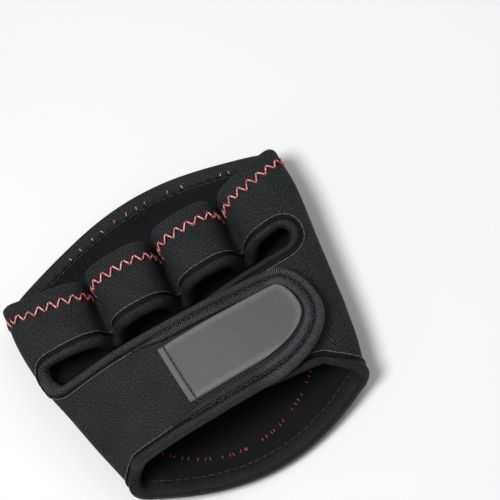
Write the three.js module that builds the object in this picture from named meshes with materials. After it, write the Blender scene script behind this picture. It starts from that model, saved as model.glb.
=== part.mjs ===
// Lifting grip pad: a neoprene tube that wraps the palm, with four finger loops and a closing wrist strap.
// Millimetres. X runs across the hand to the little finger's side, Y towards the fingers, Z up from the floor.
import * as THREE from 'three';

const NEOPRENE = 2.5;          // thickness of the neoprene
const HEM_EXTRA = 0.8;         // a turned hem is this much thicker, on its inner side
const HEM = 6.5;               // width of the turned hem at the finger end
const HEM_STEP = 1.4;          // width over which the hem thins to the single wall
const EDGE_ROUND = 0.8;        // width over which a hemmed edge rounds off
const EDGE_SHARE = 0.55;       // how much of its thickness is left at the very edge
const GAP = 0.35;              // clearance between pieces that lie on each other
const JOINT_GAP = 0.5;         // clearance between panels that meet edge to edge
const TAPE = 0.55;             // thickness of the elastic edge tape
const TAPE_WIDTH = 3.7;        // how far the tape reaches over the neoprene
const TAPE_ROWS = 2;           // rows of points across each side of the tape
const TAPE_CLEAR = 0.80;       // clearance inside the folded tape
const TAPE_SLOT = 0.5;         // room behind the neoprene's edge inside the tape
const TAPE_BACK = 1.15;        // how far the tape stands out behind that edge
const TAPE_SHOULDER = 0.55;    // how much of that it still stands out at its corners
const TAPE_STEP = 7.0;         // longest step along the tape
const TAPE_SHORT = 0.9;        // shortest step in its bends
const TAPE_HEADING = 2.4;      // its direction is taken over this much to either side
const GRIP = 0.8;              // thickness of the rubberised cloth under the palm
const GRIP_FLAT = 0.15;        // the cloth is pressed flat on the floor up to this height
const TAB_PATCH = 0.8;         // thickness of the grey patch on the tab

const PALM_FLOOR = GRIP + GAP + NEOPRENE / 2;   // middle of the palm's wall where it lies flattest
const PALM_SAGITTA = 16;       // how far the palm's front edge bows out past its corners
const STRIP_SAGITTA = 5;       // how far the finger strip's front edge is drawn back at mid width
const STRIP_REAR = -26.5;      // rear edge of the finger strip at its ends
const STRIP_REAR_BOW = 1.8;    // how far that edge bows back at mid width
const STRAP_FRONT = -36.9;     // front edge of the wrist strap at the thumb side
const STRAP_SLANT = 0.055;     // how much that edge falls back for each millimetre across
const STRAP_REAR = -72.5;      // rear edge of the wrist strap
const FLAP_FRONT = -35.5;      // front edge of the underlap
const HEEL_Y = -92.3;          // hindmost point of the palm
const HEEL_X = 5;              // where across the palm that point lies
const HEEL_BOW = 0.0064;       // how sharply the heel bows, per millimetre round the wall
const FLAP_REAR = -67.6;       // rear edge of the underlap
const FLAP_TAPER = 3.2;        // how far each of its edges draws in towards its free end
const REAR_EASE = 1.1;         // how softly the heel's bow runs into the strap's and the underlap's rear edges

// The tube along the hand: outer half widths to either side, height of the side folds, lift of the palm, and how
// fully each side turns over at its fold.
const TUBE = [
  { y: 16, left: 53.4, right: 52.6, foldZ: 14.2, lift: 0.9, fullness: 1.0 },
  { y: 0, left: 54.0, right: 53.2, foldZ: 14.1, lift: 0.1, fullness: 1.0 },
  { y: -15, left: 55.2, right: 53.6, foldZ: 13.9, lift: 0.0, fullness: 1.0 },
  { y: -30, left: 53.2, right: 52.2, foldZ: 13.7, lift: 0.0, fullness: 1.0 },
  { y: -45, left: 49.4, right: 50.4, foldZ: 13.2, lift: 0.0, fullness: 1.0 },
  { y: -60, left: 45.9, right: 48.2, foldZ: 12.6, lift: 0.1, fullness: 1.05 },
  { y: -75, left: 42.0, right: 45.2, foldZ: 11.6, lift: 0.6, fullness: 1.12 },
  { y: -94, left: 37.6, right: 40.0, foldZ: 10.3, lift: 2.0, fullness: 1.12 },
];

// Half of the palm's hollow, from its middle out to where the side fold begins: shares of that reach and height.
const PALM_BOWL = [
  { across: 0.0, rise: 0.0 },
  { across: 0.32, rise: 0.05 },
  { across: 0.53, rise: 0.17 },
  { across: 0.735, rise: 0.43 },
  { across: 0.9, rise: 0.75 },
  { across: 0.955, rise: 0.86 },
];
const FOLD_RADIUS = 3.9;       // bend of the wall's middle at the side folds
const FOLD_ANGLES = [-58, -28, 0];   // places round the bend, up to the fold's widest point

// Where each side turns over above its fold, as far in from the fold and up from it.
const LEFT_TURN = [
  { inward: 0.5, up: 1.95 },
  { inward: 1.95, up: 3.4 },
  { inward: 4.8, up: 5.1 },
];
const RIGHT_TURN = [
  { inward: 0.5, up: 1.95 },
  { inward: 1.95, up: 3.4 },
  { inward: 5.2, up: 4.9 },
  { inward: 9.2, up: 5.8 },
];

// Lines at which the finger strip is sewn down between the fingers.
const PINCHES = [-24.5, 1.6, 27.0];
const LOOP_EASE = { from: 8, to: 21 };   // distances behind the front corners over which the loops' sides move apart
const PINCH_LIFT = 1.45;       // the hem and the tape hold the strip's middle off the palm
const LOOP_TOPS = { middle: 21.0, ring: 21.4, side: 19.7 };

// Half of an inner finger loop: distance from its pinch as a share of the half span, at the hem and at the taped
// rear edge, and share of the rise.
const LOOP_ARCH = [
  { hem: 0.1, tape: 0.135, rise: 0.03 },
  { hem: 0.175, tape: 0.245, rise: 0.14 },
  { hem: 0.21, tape: 0.32, rise: 0.35 },
  { hem: 0.255, tape: 0.405, rise: 0.63 },
  { hem: 0.39, tape: 0.56, rise: 0.86 },
  { hem: 0.68, tape: 0.77, rise: 0.98 },
];
// The outer loops rise from their pinch and run on into the side folds.
const INDEX_ARCH = [
  { hem: 0.054, tape: 0.072, rise: 0.03 },
  { hem: 0.097, tape: 0.132, rise: 0.14 },
  { hem: 0.122, tape: 0.178, rise: 0.35 },
  { hem: 0.175, tape: 0.25, rise: 0.66 },
  { hem: 0.39, tape: 0.45, rise: 0.94 },
  { hem: 0.75, tape: 0.77, rise: 1.0 },
];

const LITTLE_ARCH = [
  { hem: 0.075, tape: 0.1, rise: 0.03 },
  { hem: 0.135, tape: 0.183, rise: 0.13 },
  { hem: 0.17, tape: 0.25, rise: 0.34 },
  { hem: 0.235, tape: 0.345, rise: 0.64 },
  { hem: 0.44, tape: 0.53, rise: 0.92 },
  { hem: 0.76, tape: 0.78, rise: 1.0 },
];

// The strap's arch over the back of the hand, from the thumb side to the end of the tab.
const STRAP_ARCH = [
  { x: -32.0, z: 23.0 },
  { x: -24.0, z: 25.4 },
  { x: -15.0, z: 27.0 },
  { x: -5.0, z: 27.7 },
  { x: 5.0, z: 27.8 },
  { x: 15.0, z: 27.4 },
  { x: 24.0, z: 26.5 },
  { x: 33.0, z: 25.0 },
  { x: 42.5, z: 22.9 },
];
// Tip of the tab, how far its end bows out before and behind the tip, and where across the strap the tip lies.
const TAB_END = { reach: 42.4, frontBow: 10.0, rearBow: 26.0, tipSide: 0.47 };

// The underlap follows the strap from below.
const FLAP_ARCH = [
  { x: 30.0, z: 20.2 },
  { x: 22.0, z: 21.3 },
  { x: 14.0, z: 21.9 },
  { x: 7.0, z: 22.1 },
];

const TAB_PATCH_START = { front: -10.0, rear: -8.0 };     // where the grey patch begins at the strap's two edges
const TAB_INSET = { front: 4.0, rear: 5.6, bow: 4.6 };     // how far it lies in from the tab's edges, and its end's bow
const HOOK = { front: -48, rear: -61.5, from: 12, to: 28, thickness: 2.0 };

// Outline of the patch under the palm, half of it from front to rear.
const GRIP_OUTLINE = [
  { y: 7.8, half: 3.0 },
  { y: 5.2, half: 15.0 },
  { y: 0.6, half: 29.5 },
  { y: -4.9, half: 36.5 },
  { y: -13.0, half: 40.6 },
  { y: -27.0, half: 42.6 },
  { y: -41.0, half: 41.6 },
  { y: -55.0, half: 37.2 },
  { y: -67.0, half: 29.8 },
  { y: -75.0, half: 21.0 },
  { y: -80.0, half: 10.5 },
  { y: -81.5, half: 3.0 },
];

const LEFT_END = { y: (STRAP_FRONT + STRIP_REAR) / 2, radius: (STRIP_REAR - STRAP_FRONT) / 2 };
const RIGHT_END = { y: (FLAP_FRONT + STRIP_REAR) / 2, radius: (STRIP_REAR - FLAP_FRONT) / 2 };

// Smooth curves

function hermite(a, b, c, d, t) {
  const t2 = t * t;
  const t3 = t2 * t;
  return 0.5 * (2 * b + (c - a) * t + (2 * a - 5 * b + 4 * c - d) * t2 + (3 * b - a - 3 * c + d) * t3);
}

// The value of a list at a place between its entries.
function smoothValue(list, s) {
  const last = list.length - 1;
  const i = Math.min(Math.max(Math.floor(s), 0), last - 1);
  const before = i > 0 ? list[i - 1] : 2 * list[0] - list[1];
  const after = i < last - 1 ? list[i + 2] : 2 * list[last] - list[last - 1];
  return hermite(before, list[i], list[i + 1], after, s - i);
}

// A column of a table whose rows are ordered by falling y.
function along(table, column, y) {
  const last = table.length - 1;
  let i = 0;
  while (i < last - 1 && y < table[i + 1].y) i += 1;
  const share = (table[i].y - y) / (table[i].y - table[i + 1].y);
  return smoothValue(table.map((row) => row[column]), i + Math.min(Math.max(share, 0), 1));
}

function mix(a, b, t) {
  return a + (b - a) * t;
}

// Sections of the tube: lists of points { x, z } of the wall's middle, for a given y

const LEFT_JOINT = 1;          // places in the palm's list of section points
const LEFT_FOLD = 3;
const PALM_MIDDLE = LEFT_FOLD + PALM_BOWL.length + FOLD_ANGLES.length - 1;
const RIGHT_FOLD = 2 * PALM_MIDDLE - LEFT_FOLD;
const RIGHT_JOINT = RIGHT_FOLD + 3;

function palmHeight(y) {
  return PALM_FLOOR + along(TUBE, 'lift', y);
}

function palmSection(y) {
  const foldZ = along(TUBE, 'foldZ', y);
  const floor = palmHeight(y);
  const fullness = along(TUBE, 'fullness', y);
  const radius = FOLD_RADIUS * fullness;
  const widths = { left: along(TUBE, 'left', y) - NEOPRENE / 2, right: along(TUBE, 'right', y) - NEOPRENE / 2 };
  const half = (side, width) => {
    const fold = FOLD_ANGLES.map((degrees) => {
      const angle = THREE.MathUtils.degToRad(degrees);
      return { x: side * (width - radius * (1 - Math.cos(angle))), z: foldZ + radius * Math.sin(angle) };
    });
    const bowl = PALM_BOWL.map((row) => ({ x: fold[0].x * row.across, z: mix(floor, fold[0].z, row.rise) }));
    return [...bowl, ...fold];
  };
  const turn = (rows, side, width) => rows.map((row) => ({
    x: side * (width - row.inward * fullness),
    z: foldZ + row.up * fullness,
  }));
  return [
    ...turn(LEFT_TURN, -1, widths.left).reverse(),
    ...half(-1, widths.left).reverse(),
    ...half(1, widths.right).slice(1),
    ...turn(RIGHT_TURN, 1, widths.right),
  ];
}

// Height of the palm's hollow at x.
function palmAt(x, y) {
  const points = palmSection(y);
  let i = LEFT_FOLD;
  while (i < RIGHT_FOLD - 1 && x > points[i + 1].x) i += 1;
  const t = (x - points[i].x) / (points[i + 1].x - points[i].x);
  return smoothValue(points.map((p) => p.z), i + t);
}

function pinchHeight(x, y) {
  return palmAt(x, y) + NEOPRENE + GAP + PINCH_LIFT;
}

// Loops between the side folds: half arches at both sides, whole ones between the pinches.
function loopPoints(y, section) {
  const rearward = THREE.MathUtils.smoothstep(-y, LOOP_EASE.from, LOOP_EASE.to);
  const foot = PINCHES.map((x) => ({ x, z: pinchHeight(x, y) }));
  const rise = (from, to, top, arch) => arch.map((row) => ({
    x: mix(from.x, to, mix(row.hem, row.tape, rearward)),
    z: mix(from.z, top, row.rise),
  }));
  const inner = (a, b, top) => {
    const middle = (a.x + b.x) / 2;
    const up = rise(a, middle, top, LOOP_ARCH);
    const down = rise(b, middle, top, LOOP_ARCH).reverse();
    return [...up, { x: middle, z: top }, ...down];
  };
  const leftEdge = section[0].x;
  const rightEdge = section[section.length - 1].x;
  return [
    ...rise(foot[0], leftEdge, LOOP_TOPS.side, INDEX_ARCH).reverse(),
    foot[0],
    ...inner(foot[0], foot[1], LOOP_TOPS.middle),
    foot[1],
    ...inner(foot[1], foot[2], LOOP_TOPS.ring),
    foot[2],
    ...rise(foot[2], rightEdge, LOOP_TOPS.side, LITTLE_ARCH),
  ];
}

const RUN_IN = 4;              // palm points that each top panel's list repeats, so that it runs on smoothly

function stripSection(y) {
  const palm = palmSection(y);
  const left = palm.slice(0, LEFT_JOINT + 1 + RUN_IN).reverse();
  const right = palm.slice(RIGHT_JOINT - RUN_IN).reverse();
  return [...left, ...loopPoints(y, palm), ...right];
}

function strapSection(y) {
  const left = palmSection(y).slice(0, LEFT_JOINT + 1 + RUN_IN).reverse();
  return [...left, ...STRAP_ARCH.map(({ x, z }) => ({ x, z }))];
}

function flapSection(y) {
  const right = palmSection(y).slice(RIGHT_JOINT - RUN_IN);
  return [...right, ...FLAP_ARCH.map(({ x, z }) => ({ x, z }))];
}

// A panel is a section that changes along y, the stretch of it that the panel covers, and its two edges.
// outward is 1 where the wall's outer side lies to the left of the section's direction, seen with Y towards us.

function pointOn(panel, s, y) {
  const section = panel.section(y);
  const x = smoothValue(section.map((p) => p.x), s);
  const z = smoothValue(section.map((p) => p.z), s);
  return new THREE.Vector3(x, y, z);
}

function frameOn(panel, s, y) {
  const ds = 0.02;
  const dy = 0.2;
  const girth = pointOn(panel, s + ds, y).sub(pointOn(panel, s - ds, y)).divideScalar(2 * ds);
  const length = pointOn(panel, s, y + dy).sub(pointOn(panel, s, y - dy)).divideScalar(2 * dy);
  const normal = girth.clone().cross(length).normalize().multiplyScalar(panel.outward);
  return { girth, length, normal };
}

// Walk over a panel's surface from a place in a direction, and give the place reached.
function walk(panel, place, direction, distance) {
  const steps = Math.max(1, Math.ceil(Math.abs(distance) / 0.8));
  const heading = direction.clone();
  let { s, y } = place;
  for (let i = 0; i < steps; i += 1) {
    const { girth, length, normal } = frameOn(panel, s, y);
    heading.addScaledVector(normal, -heading.dot(normal)).normalize();
    const step = heading.clone().multiplyScalar(distance / steps);
    const gg = girth.dot(girth);
    const gl = girth.dot(length);
    const ll = length.dot(length);
    const g = girth.dot(step);
    const l = length.dot(step);
    const det = gg * ll - gl * gl;
    s += (g * ll - l * gl) / det;
    y += (l * gg - g * gl) / det;
  }
  return { s, y };
}

// Distance round the section from one place to another, at one y.
function girthBetween(panel, from, to, y) {
  const steps = 12;
  let sum = 0;
  let last = pointOn(panel, from, y);
  for (let i = 1; i <= steps; i += 1) {
    const next = pointOn(panel, mix(from, to, i / steps), y);
    sum += next.distanceTo(last);
    last = next;
  }
  return sum;
}

// The place along a section at which it reaches x, looked for between two places.
function placeAtX(panel, x, y, from, to) {
  const rising = pointOn(panel, to, y).x > pointOn(panel, from, y).x;
  let low = from;
  let high = to;
  for (let i = 0; i < 30; i += 1) {
    const middle = (low + high) / 2;
    if ((pointOn(panel, middle, y).x < x) === rising) low = middle;
    else high = middle;
  }
  return (low + high) / 2;
}

// Edge of a panel that ends a hole in a half circle beside a joint; elsewhere it stays straight.
function roundEnd(panel, joint, s, end, towards) {
  const reach = girthBetween(panel, joint, s, end.y);
  if (reach >= end.radius) return end.y + towards * end.radius;
  return end.y + towards * Math.sqrt(end.radius ** 2 - (end.radius - reach) ** 2);
}

// Front edges

function palmFront(s) {
  const section = palmSection(0);
  const x = smoothValue(section.map((p) => p.x), s);
  const share = s < PALM_MIDDLE ? x / section[LEFT_FOLD].x : x / section[RIGHT_FOLD].x;
  if (s < LEFT_FOLD || s > RIGHT_FOLD) return stripBow(share);
  return PALM_SAGITTA * (1 - share * share);
}

function stripBow(share) {
  return -STRIP_SAGITTA * (1 - Math.abs(share) ** 4);
}

function stripFront(s) {
  const section = stripSection(0);
  const x = smoothValue(section.map((p) => p.x), s);
  return stripBow(x / (along(TUBE, 'right', 0) - NEOPRENE / 2));
}

// Rear edges

const heelGirth = palmSection(-80).map((p, i, list) => {
  const before = list.slice(0, i);
  return before.reduce((sum, q, k) => sum + Math.hypot(list[k + 1].x - q.x, list[k + 1].z - q.z), 0);
});

function heelEdge(s) {
  const middle = smoothValue(heelGirth, PALM_MIDDLE) + HEEL_X;
  const place = Math.min(Math.max(s, 0), heelGirth.length - 1);
  const reach = smoothValue(heelGirth, place) - middle;
  const side = reach < 0 ? STRAP_REAR : FLAP_REAR;
  const short = side - (HEEL_Y + HEEL_BOW * reach ** 2);
  return side - (short + Math.sqrt(short ** 2 + 4 * REAR_EASE ** 2)) / 2;
}

// turn is the angle through which the tape may bend between two of its sections.
const palm = {
  turn: 0.22,
  section: palmSection,
  outward: -1,
  start: LEFT_JOINT,
  end: RIGHT_JOINT,
  front: palmFront,
  rear: heelEdge,
};

const strip = { section: stripSection, outward: 1, start: RUN_IN, turn: 0.34 };
strip.end = stripSection(0).length - 1 - RUN_IN;
strip.front = stripFront;
strip.rear = (s) => {
  const share = (2 * s - strip.start - strip.end) / (strip.end - strip.start);
  const bow = STRIP_REAR_BOW * (1 - share ** 4);
  if (share < 0) return roundEnd(strip, strip.start, Math.min(s, strip.start + 4), LEFT_END, 1) - bow;
  return roundEnd(strip, strip.end, Math.max(s, strip.end - 4), RIGHT_END, 1) - bow;
};

const strap = { section: strapSection, outward: 1, start: RUN_IN, turn: 0.28 };
strap.end = strapSection(-50).length - 1;
strap.front = (s) => {
  const x = pointOn(strap, s, LEFT_END.y).x;
  const start = pointOn(strap, strap.start, LEFT_END.y).x;
  return roundEnd(strap, strap.start, Math.min(s, strap.start + 4), LEFT_END, -1) - STRAP_SLANT * (x - start);
};
strap.rear = (s) => Math.min(heelEdge(LEFT_JOINT + RUN_IN - s), STRAP_REAR);
// The tab's end bows out to its tip; side runs from 0 at the strap's front edge to 1 at its rear edge.
strap.tip = (side) => {
  const forward = side < TAB_END.tipSide ? side / TAB_END.tipSide : (1 - side) / (1 - TAB_END.tipSide);
  const bow = side < TAB_END.tipSide ? TAB_END.frontBow : TAB_END.rearBow;
  const x = TAB_END.reach - bow * (1 - Math.sqrt(1 - (1 - forward) ** 2));
  return placeAtX(strap, x, (STRAP_FRONT + STRAP_REAR) / 2, strap.start, strap.end);
};

const flap = { section: flapSection, outward: -1, start: RUN_IN, turn: 0.26 };
flap.end = flapSection(-50).length - 1;
flap.taper = (s) => FLAP_TAPER * ((s - flap.start) / (flap.end - flap.start)) ** 2;
flap.front = (s) => roundEnd(flap, flap.start, Math.min(s, flap.start + 3), RIGHT_END, -1) - flap.taper(s);
flap.rear = (s) => Math.min(heelEdge(s + RIGHT_JOINT - RUN_IN), FLAP_REAR) + flap.taper(s);

// Closed solids

function solid(name, points, triangles, look) {
  const geometry = new THREE.BufferGeometry();
  const at = points.flatMap((p) => [p.x, p.y, p.z]);
  geometry.setAttribute('position', new THREE.Float32BufferAttribute(at, 3));
  const volume = triangles.reduce((sum, [a, b, c]) => {
    const normal = points[b].clone().cross(points[c]);
    return sum + points[a].dot(normal);
  }, 0);
  geometry.setIndex(triangles.flatMap(([a, b, c]) => (volume > 0 ? [a, b, c] : [a, c, b])));
  geometry.computeVertexNormals();
  const mesh = new THREE.Mesh(geometry, new THREE.MeshStandardMaterial({ metalness: 0, ...look }));
  mesh.name = name;
  return mesh;
}

// A wall between an upper and a lower grid of points, closed round its rim.
function wallSolid(name, upper, lower, look) {
  const columns = upper.length;
  const rows = upper[0].length;
  const points = [...upper.flat(), ...lower.flat()];
  const low = columns * rows;
  const triangles = [];
  const quad = (a, b, c, d) => triangles.push([a, b, c], [a, c, d]);
  const at = (i, j) => i * rows + j;
  for (let i = 0; i < columns - 1; i += 1) {
    for (let j = 0; j < rows - 1; j += 1) {
      quad(at(i, j), at(i + 1, j), at(i + 1, j + 1), at(i, j + 1));
      quad(low + at(i, j), low + at(i, j + 1), low + at(i + 1, j + 1), low + at(i + 1, j));
    }
  }
  const rim = [];
  for (let i = 0; i < columns - 1; i += 1) rim.push(at(i, 0));
  for (let j = 0; j < rows - 1; j += 1) rim.push(at(columns - 1, j));
  for (let i = columns - 1; i > 0; i -= 1) rim.push(at(i, rows - 1));
  for (let j = rows - 1; j > 0; j -= 1) rim.push(at(0, j));
  rim.forEach((a, i) => {
    const b = rim[(i + 1) % rim.length];
    quad(b, a, low + a, low + b);
  });
  return solid(name, points, triangles, look);
}

// Places along y from a panel's front edge to its rear edge: the hem's rows, the free rows, the tape's rows.
function stations(front, rear, { hem, tape, free }) {
  const head = hem ? [0, EDGE_ROUND, HEM, HEM + HEM_STEP] : [0];
  const tail = tape ? [TAPE_WIDTH, TAPE_WIDTH / 2, 0] : [0];
  const begin = front - head[head.length - 1];
  const finish = rear + tail[0];
  const between = Array.from({ length: free }, (_, i) => mix(begin, finish, (i + 1) / (free + 1)));
  return [...head.map((d) => front - d), ...between, ...tail.map((d) => rear + d)];
}

// Half thickness on the inner and outer side at a distance from a hemmed front edge.
function hemmed(distance) {
  const edge = distance < EDGE_ROUND / 2 ? EDGE_SHARE : 1;
  const inner = distance < HEM + HEM_STEP / 2 ? NEOPRENE / 2 + HEM_EXTRA : NEOPRENE / 2;
  return { inner: inner * edge, outer: (NEOPRENE / 2) * edge };
}

function panelSolid(name, panel, columns, rows, look) {
  const upper = [];
  const lower = [];
  columns.forEach((column) => {
    const out = [];
    const into = [];
    const share = (column - panel.start) / (panel.end - panel.start);
    const front = panel.front(column);
    stations(front, panel.rear(column), rows).forEach((y, j, list) => {
      const side = (front - y) / (front - list[list.length - 1]);
      const s = panel.tip ? mix(panel.start, panel.tip(side), share) : column;
      const place = pointOn(panel, s, y);
      const { normal } = frameOn(panel, s, y);
      const half = rows.hem ? hemmed(front - y) : { inner: NEOPRENE / 2, outer: NEOPRENE / 2 };
      out.push(place.clone().addScaledVector(normal, half.outer));
      into.push(place.clone().addScaledVector(normal, -half.inner));
    });
    upper.push(out);
    lower.push(into);
  });
  return wallSolid(name, upper, lower, look);
}

// Places along a section: each stretch between two of its points is cut into equal parts.
function cuts(from, to, partsOf) {
  const list = [from];
  for (let i = Math.floor(from); i < to; i += 1) {
    const parts = partsOf(i);
    for (let k = 1; k <= parts; k += 1) {
      const s = i + k / parts;
      if (s > from && s < to) list.push(s);
    }
  }
  return [...list, to];
}

// The joints between panels leave a small gap.
function inset(panel, list, atStart, atEnd) {
  const s = [...list];
  const half = JOINT_GAP / 2;
  if (atStart) s[0] += half / frameOn(panel, s[0], -50).girth.length();
  if (atEnd) s[s.length - 1] -= half / frameOn(panel, s[s.length - 1], -50).girth.length();
  return s;
}

const NEOPRENE_LOOK = { color: 0x25272a, roughness: 0.85 };
const TAPE_LOOK = { color: 0x1c1d1f, roughness: 0.8 };
const GRIP_LOOK = { color: 0x4b5050, roughness: 0.55 };
const TAB_LOOK = { color: 0x656769, roughness: 0.45 };
const HOOK_LOOK = { color: 0x141414, roughness: 0.95 };

function palmPanel() {
  const flat = 2;
  const side = 6;
  const columns = cuts(palm.start, palm.end, (i) => {
    const off = Math.abs(i + 0.5 - PALM_MIDDLE);
    return off < flat || off > side ? 2 : 1;
  });
  return panelSolid('palm_panel', palm, inset(palm, columns, true, true), { hem: true, tape: true, free: 11 },
    NEOPRENE_LOOK);
}

function fingerStrip() {
  const endParts = 4;
  const everyThird = 3;
  const columns = cuts(strip.start, strip.end, (i) => {
    if (i < strip.start + 2 || i >= strip.end - 2) return endParts;
    return i % everyThird === 0 ? 2 : 1;
  });
  return panelSolid('finger_strip', strip, inset(strip, columns, true, true), { hem: true, tape: true, free: 1 },
    NEOPRENE_LOOK);
}

function wristStrap() {
  const columns = cuts(strap.start, strap.end, (i) => (i < strap.start + 2 ? 4 : 2));
  return panelSolid('wrist_strap', strap, inset(strap, columns, true, false), { hem: false, tape: true, free: 5 },
    NEOPRENE_LOOK);
}

function closureUnderlap() {
  const columns = cuts(flap.start, flap.end, (i) => (i < flap.start + 1 ? 4 : 2));
  return panelSolid('closure_underlap', flap, inset(flap, columns, true, false), { hem: false, tape: true, free: 3 },
    NEOPRENE_LOOK);
}

// A thin layer that lies on a panel at a height off its middle: rows give y and the two ends of each row in x.
function layerSolid(name, panel, search, rows, columns, bottom, thickness, look, lowest = -Infinity) {
  const near = [];
  const far = [];
  rows.forEach(({ y, from, to }) => {
    const low = [];
    const high = [];
    for (let k = 0; k <= columns; k += 1) {
      const x = mix(from, to, k / columns);
      const s = placeAtX(panel, x, y, search.from, search.to);
      const place = pointOn(panel, s, y);
      const { normal } = frameOn(panel, s, y);
      low.push(place.clone().addScaledVector(normal, bottom));
      const outer = place.clone().addScaledVector(normal, bottom + thickness);
      outer.z = Math.max(outer.z, lowest);
      high.push(outer);
    }
    near.push(low);
    far.push(high);
  });
  return wallSolid(name, near, far, look);
}

function gripPatch() {
  const last = GRIP_OUTLINE.length - 1;
  const steps = 2;
  const rows = Array.from({ length: last * steps + 1 }, (_, i) => {
    const y = smoothValue(GRIP_OUTLINE.map((row) => row.y), i / steps);
    const half = smoothValue(GRIP_OUTLINE.map((row) => row.half), i / steps);
    return { y, from: -half, to: half };
  });
  return layerSolid('grip_patch', palm, { from: LEFT_FOLD, to: RIGHT_FOLD }, rows, 10, NEOPRENE / 2 + GAP, GRIP,
    GRIP_LOOK, GRIP_FLAT);
}

function tabPatch() {
  const front = strap.front(strap.end) - TAB_INSET.front;
  const rear = STRAP_REAR + TAB_INSET.rear;
  const count = 10;
  const rows = Array.from({ length: count + 1 }, (_, i) => {
    const side = (1 - Math.cos((Math.PI * i) / count)) / 2;
    const y = mix(front, rear, side);
    const tipSide = TAB_END.tipSide;
    const forward = side < tipSide ? side / tipSide : (1 - side) / (1 - tipSide);
    const bow = (side < tipSide ? TAB_END.frontBow : TAB_END.rearBow) - TAB_INSET.bow;
    const to = TAB_END.reach - TAB_INSET.rear - bow * (1 - Math.sqrt(Math.max(0, 1 - (1 - forward) ** 2)));
    return { y, from: TAB_PATCH_START.front + (TAB_PATCH_START.rear - TAB_PATCH_START.front) * side, to };
  });
  return layerSolid('tab_patch', strap, { from: strap.start, to: strap.end }, rows, 8, NEOPRENE / 2 + GAP, TAB_PATCH,
    TAB_LOOK);
}

function hookPad() {
  const rows = [0, 1, 2, 3, 4].map((k) => ({
    y: mix(HOOK.front, HOOK.rear, k / 4),
    from: HOOK.from,
    to: HOOK.to,
  }));
  return layerSolid('hook_pad', strap, { from: strap.start, to: strap.end }, rows, 6, -NEOPRENE / 2 - GAP,
    -HOOK.thickness, HOOK_LOOK);
}

// Elastic tape folded round the open edges. Its route is one run from the underlap's front edge to its rear edge.
function tapeRoute() {
  const reverse = (list) => [...list].reverse();
  const dense = (from, to) => Array.from({ length: 901 }, (_, i) => mix(from, to, i / 900));
  const edge = (panel, list, side) => list.map((s) => ({ panel, s, y: panel[side](s) }));
  const strapFrontEnd = strap.tip(0);
  const strapRearEnd = strap.tip(1);
  const tabEnd = dense(0, 1).map((t) => {
    const side = (1 - Math.cos(Math.PI * t)) / 2;
    return { panel: strap, s: strap.tip(side), y: mix(strap.front(strapFrontEnd), strap.rear(strapRearEnd), side) };
  });
  return [
    ...edge(flap, reverse(dense(flap.start, flap.end)), 'front'),
    ...edge(strip, reverse(dense(strip.start, strip.end)), 'rear'),
    ...edge(strap, dense(strap.start, strapFrontEnd), 'front'),
    ...tabEnd,
    ...edge(strap, reverse(dense(strap.start, strapRearEnd)), 'rear'),
    ...edge(palm, dense(palm.start, palm.end), 'rear'),
    ...edge(flap, dense(flap.start, flap.end), 'rear'),
  ];
}

// Thin the dense route to steps that follow its bends.
function thinned(route, longest) {
  const points = route.map(({ panel, s, y }) => pointOn(panel, s, y));
  const kept = [];
  let run = longest;
  let bend = 0;
  let heading = null;
  points.forEach((p, i) => {
    const last = i === points.length - 1;
    if (i > 0) {
      const step = p.clone().sub(points[i - 1]);
      const length = step.length();
      if (length > 1e-6) {
        step.divideScalar(length);
        if (heading) bend += heading.angleTo(step);
        heading = step;
        run += length;
      }
    }
    if (run >= longest || (bend >= route[i].panel.turn && run > TAPE_SHORT) || last) {
      if (last && run < TAPE_SHORT / 2) kept.pop();
      kept.push(i);
      run = 0;
      bend = 0;
    }
  });
  return kept.map((i) => ({ ...route[i], point: points[i], tangent: headingAt(points, i, TAPE_HEADING) }));
}

// Direction of a run of points, taken over a stretch to either side.
function headingAt(points, i, stretch) {
  let from = i;
  let to = i;
  while (from > 0 && points[from].distanceTo(points[i]) < stretch) from -= 1;
  while (to < points.length - 1 && points[to].distanceTo(points[i]) < stretch) to += 1;
  return points[to].clone().sub(points[from]);
}

// Triangles across the folded tape's section, whose points run out along its outside and back along its inside.
function tapeCap(count) {
  const back = TAPE_ROWS + 1;
  const mate = (k) => (k <= back ? count - 1 - Math.min(k, TAPE_ROWS) : count - k);
  const cap = [];
  for (let k = 1; k <= 2 * back; k += 1) {
    cap.push([k - 1, k, mate(k)]);
    if (mate(k - 1) !== mate(k)) cap.push([k - 1, mate(k), mate(k - 1)]);
  }
  return cap;
}

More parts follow.
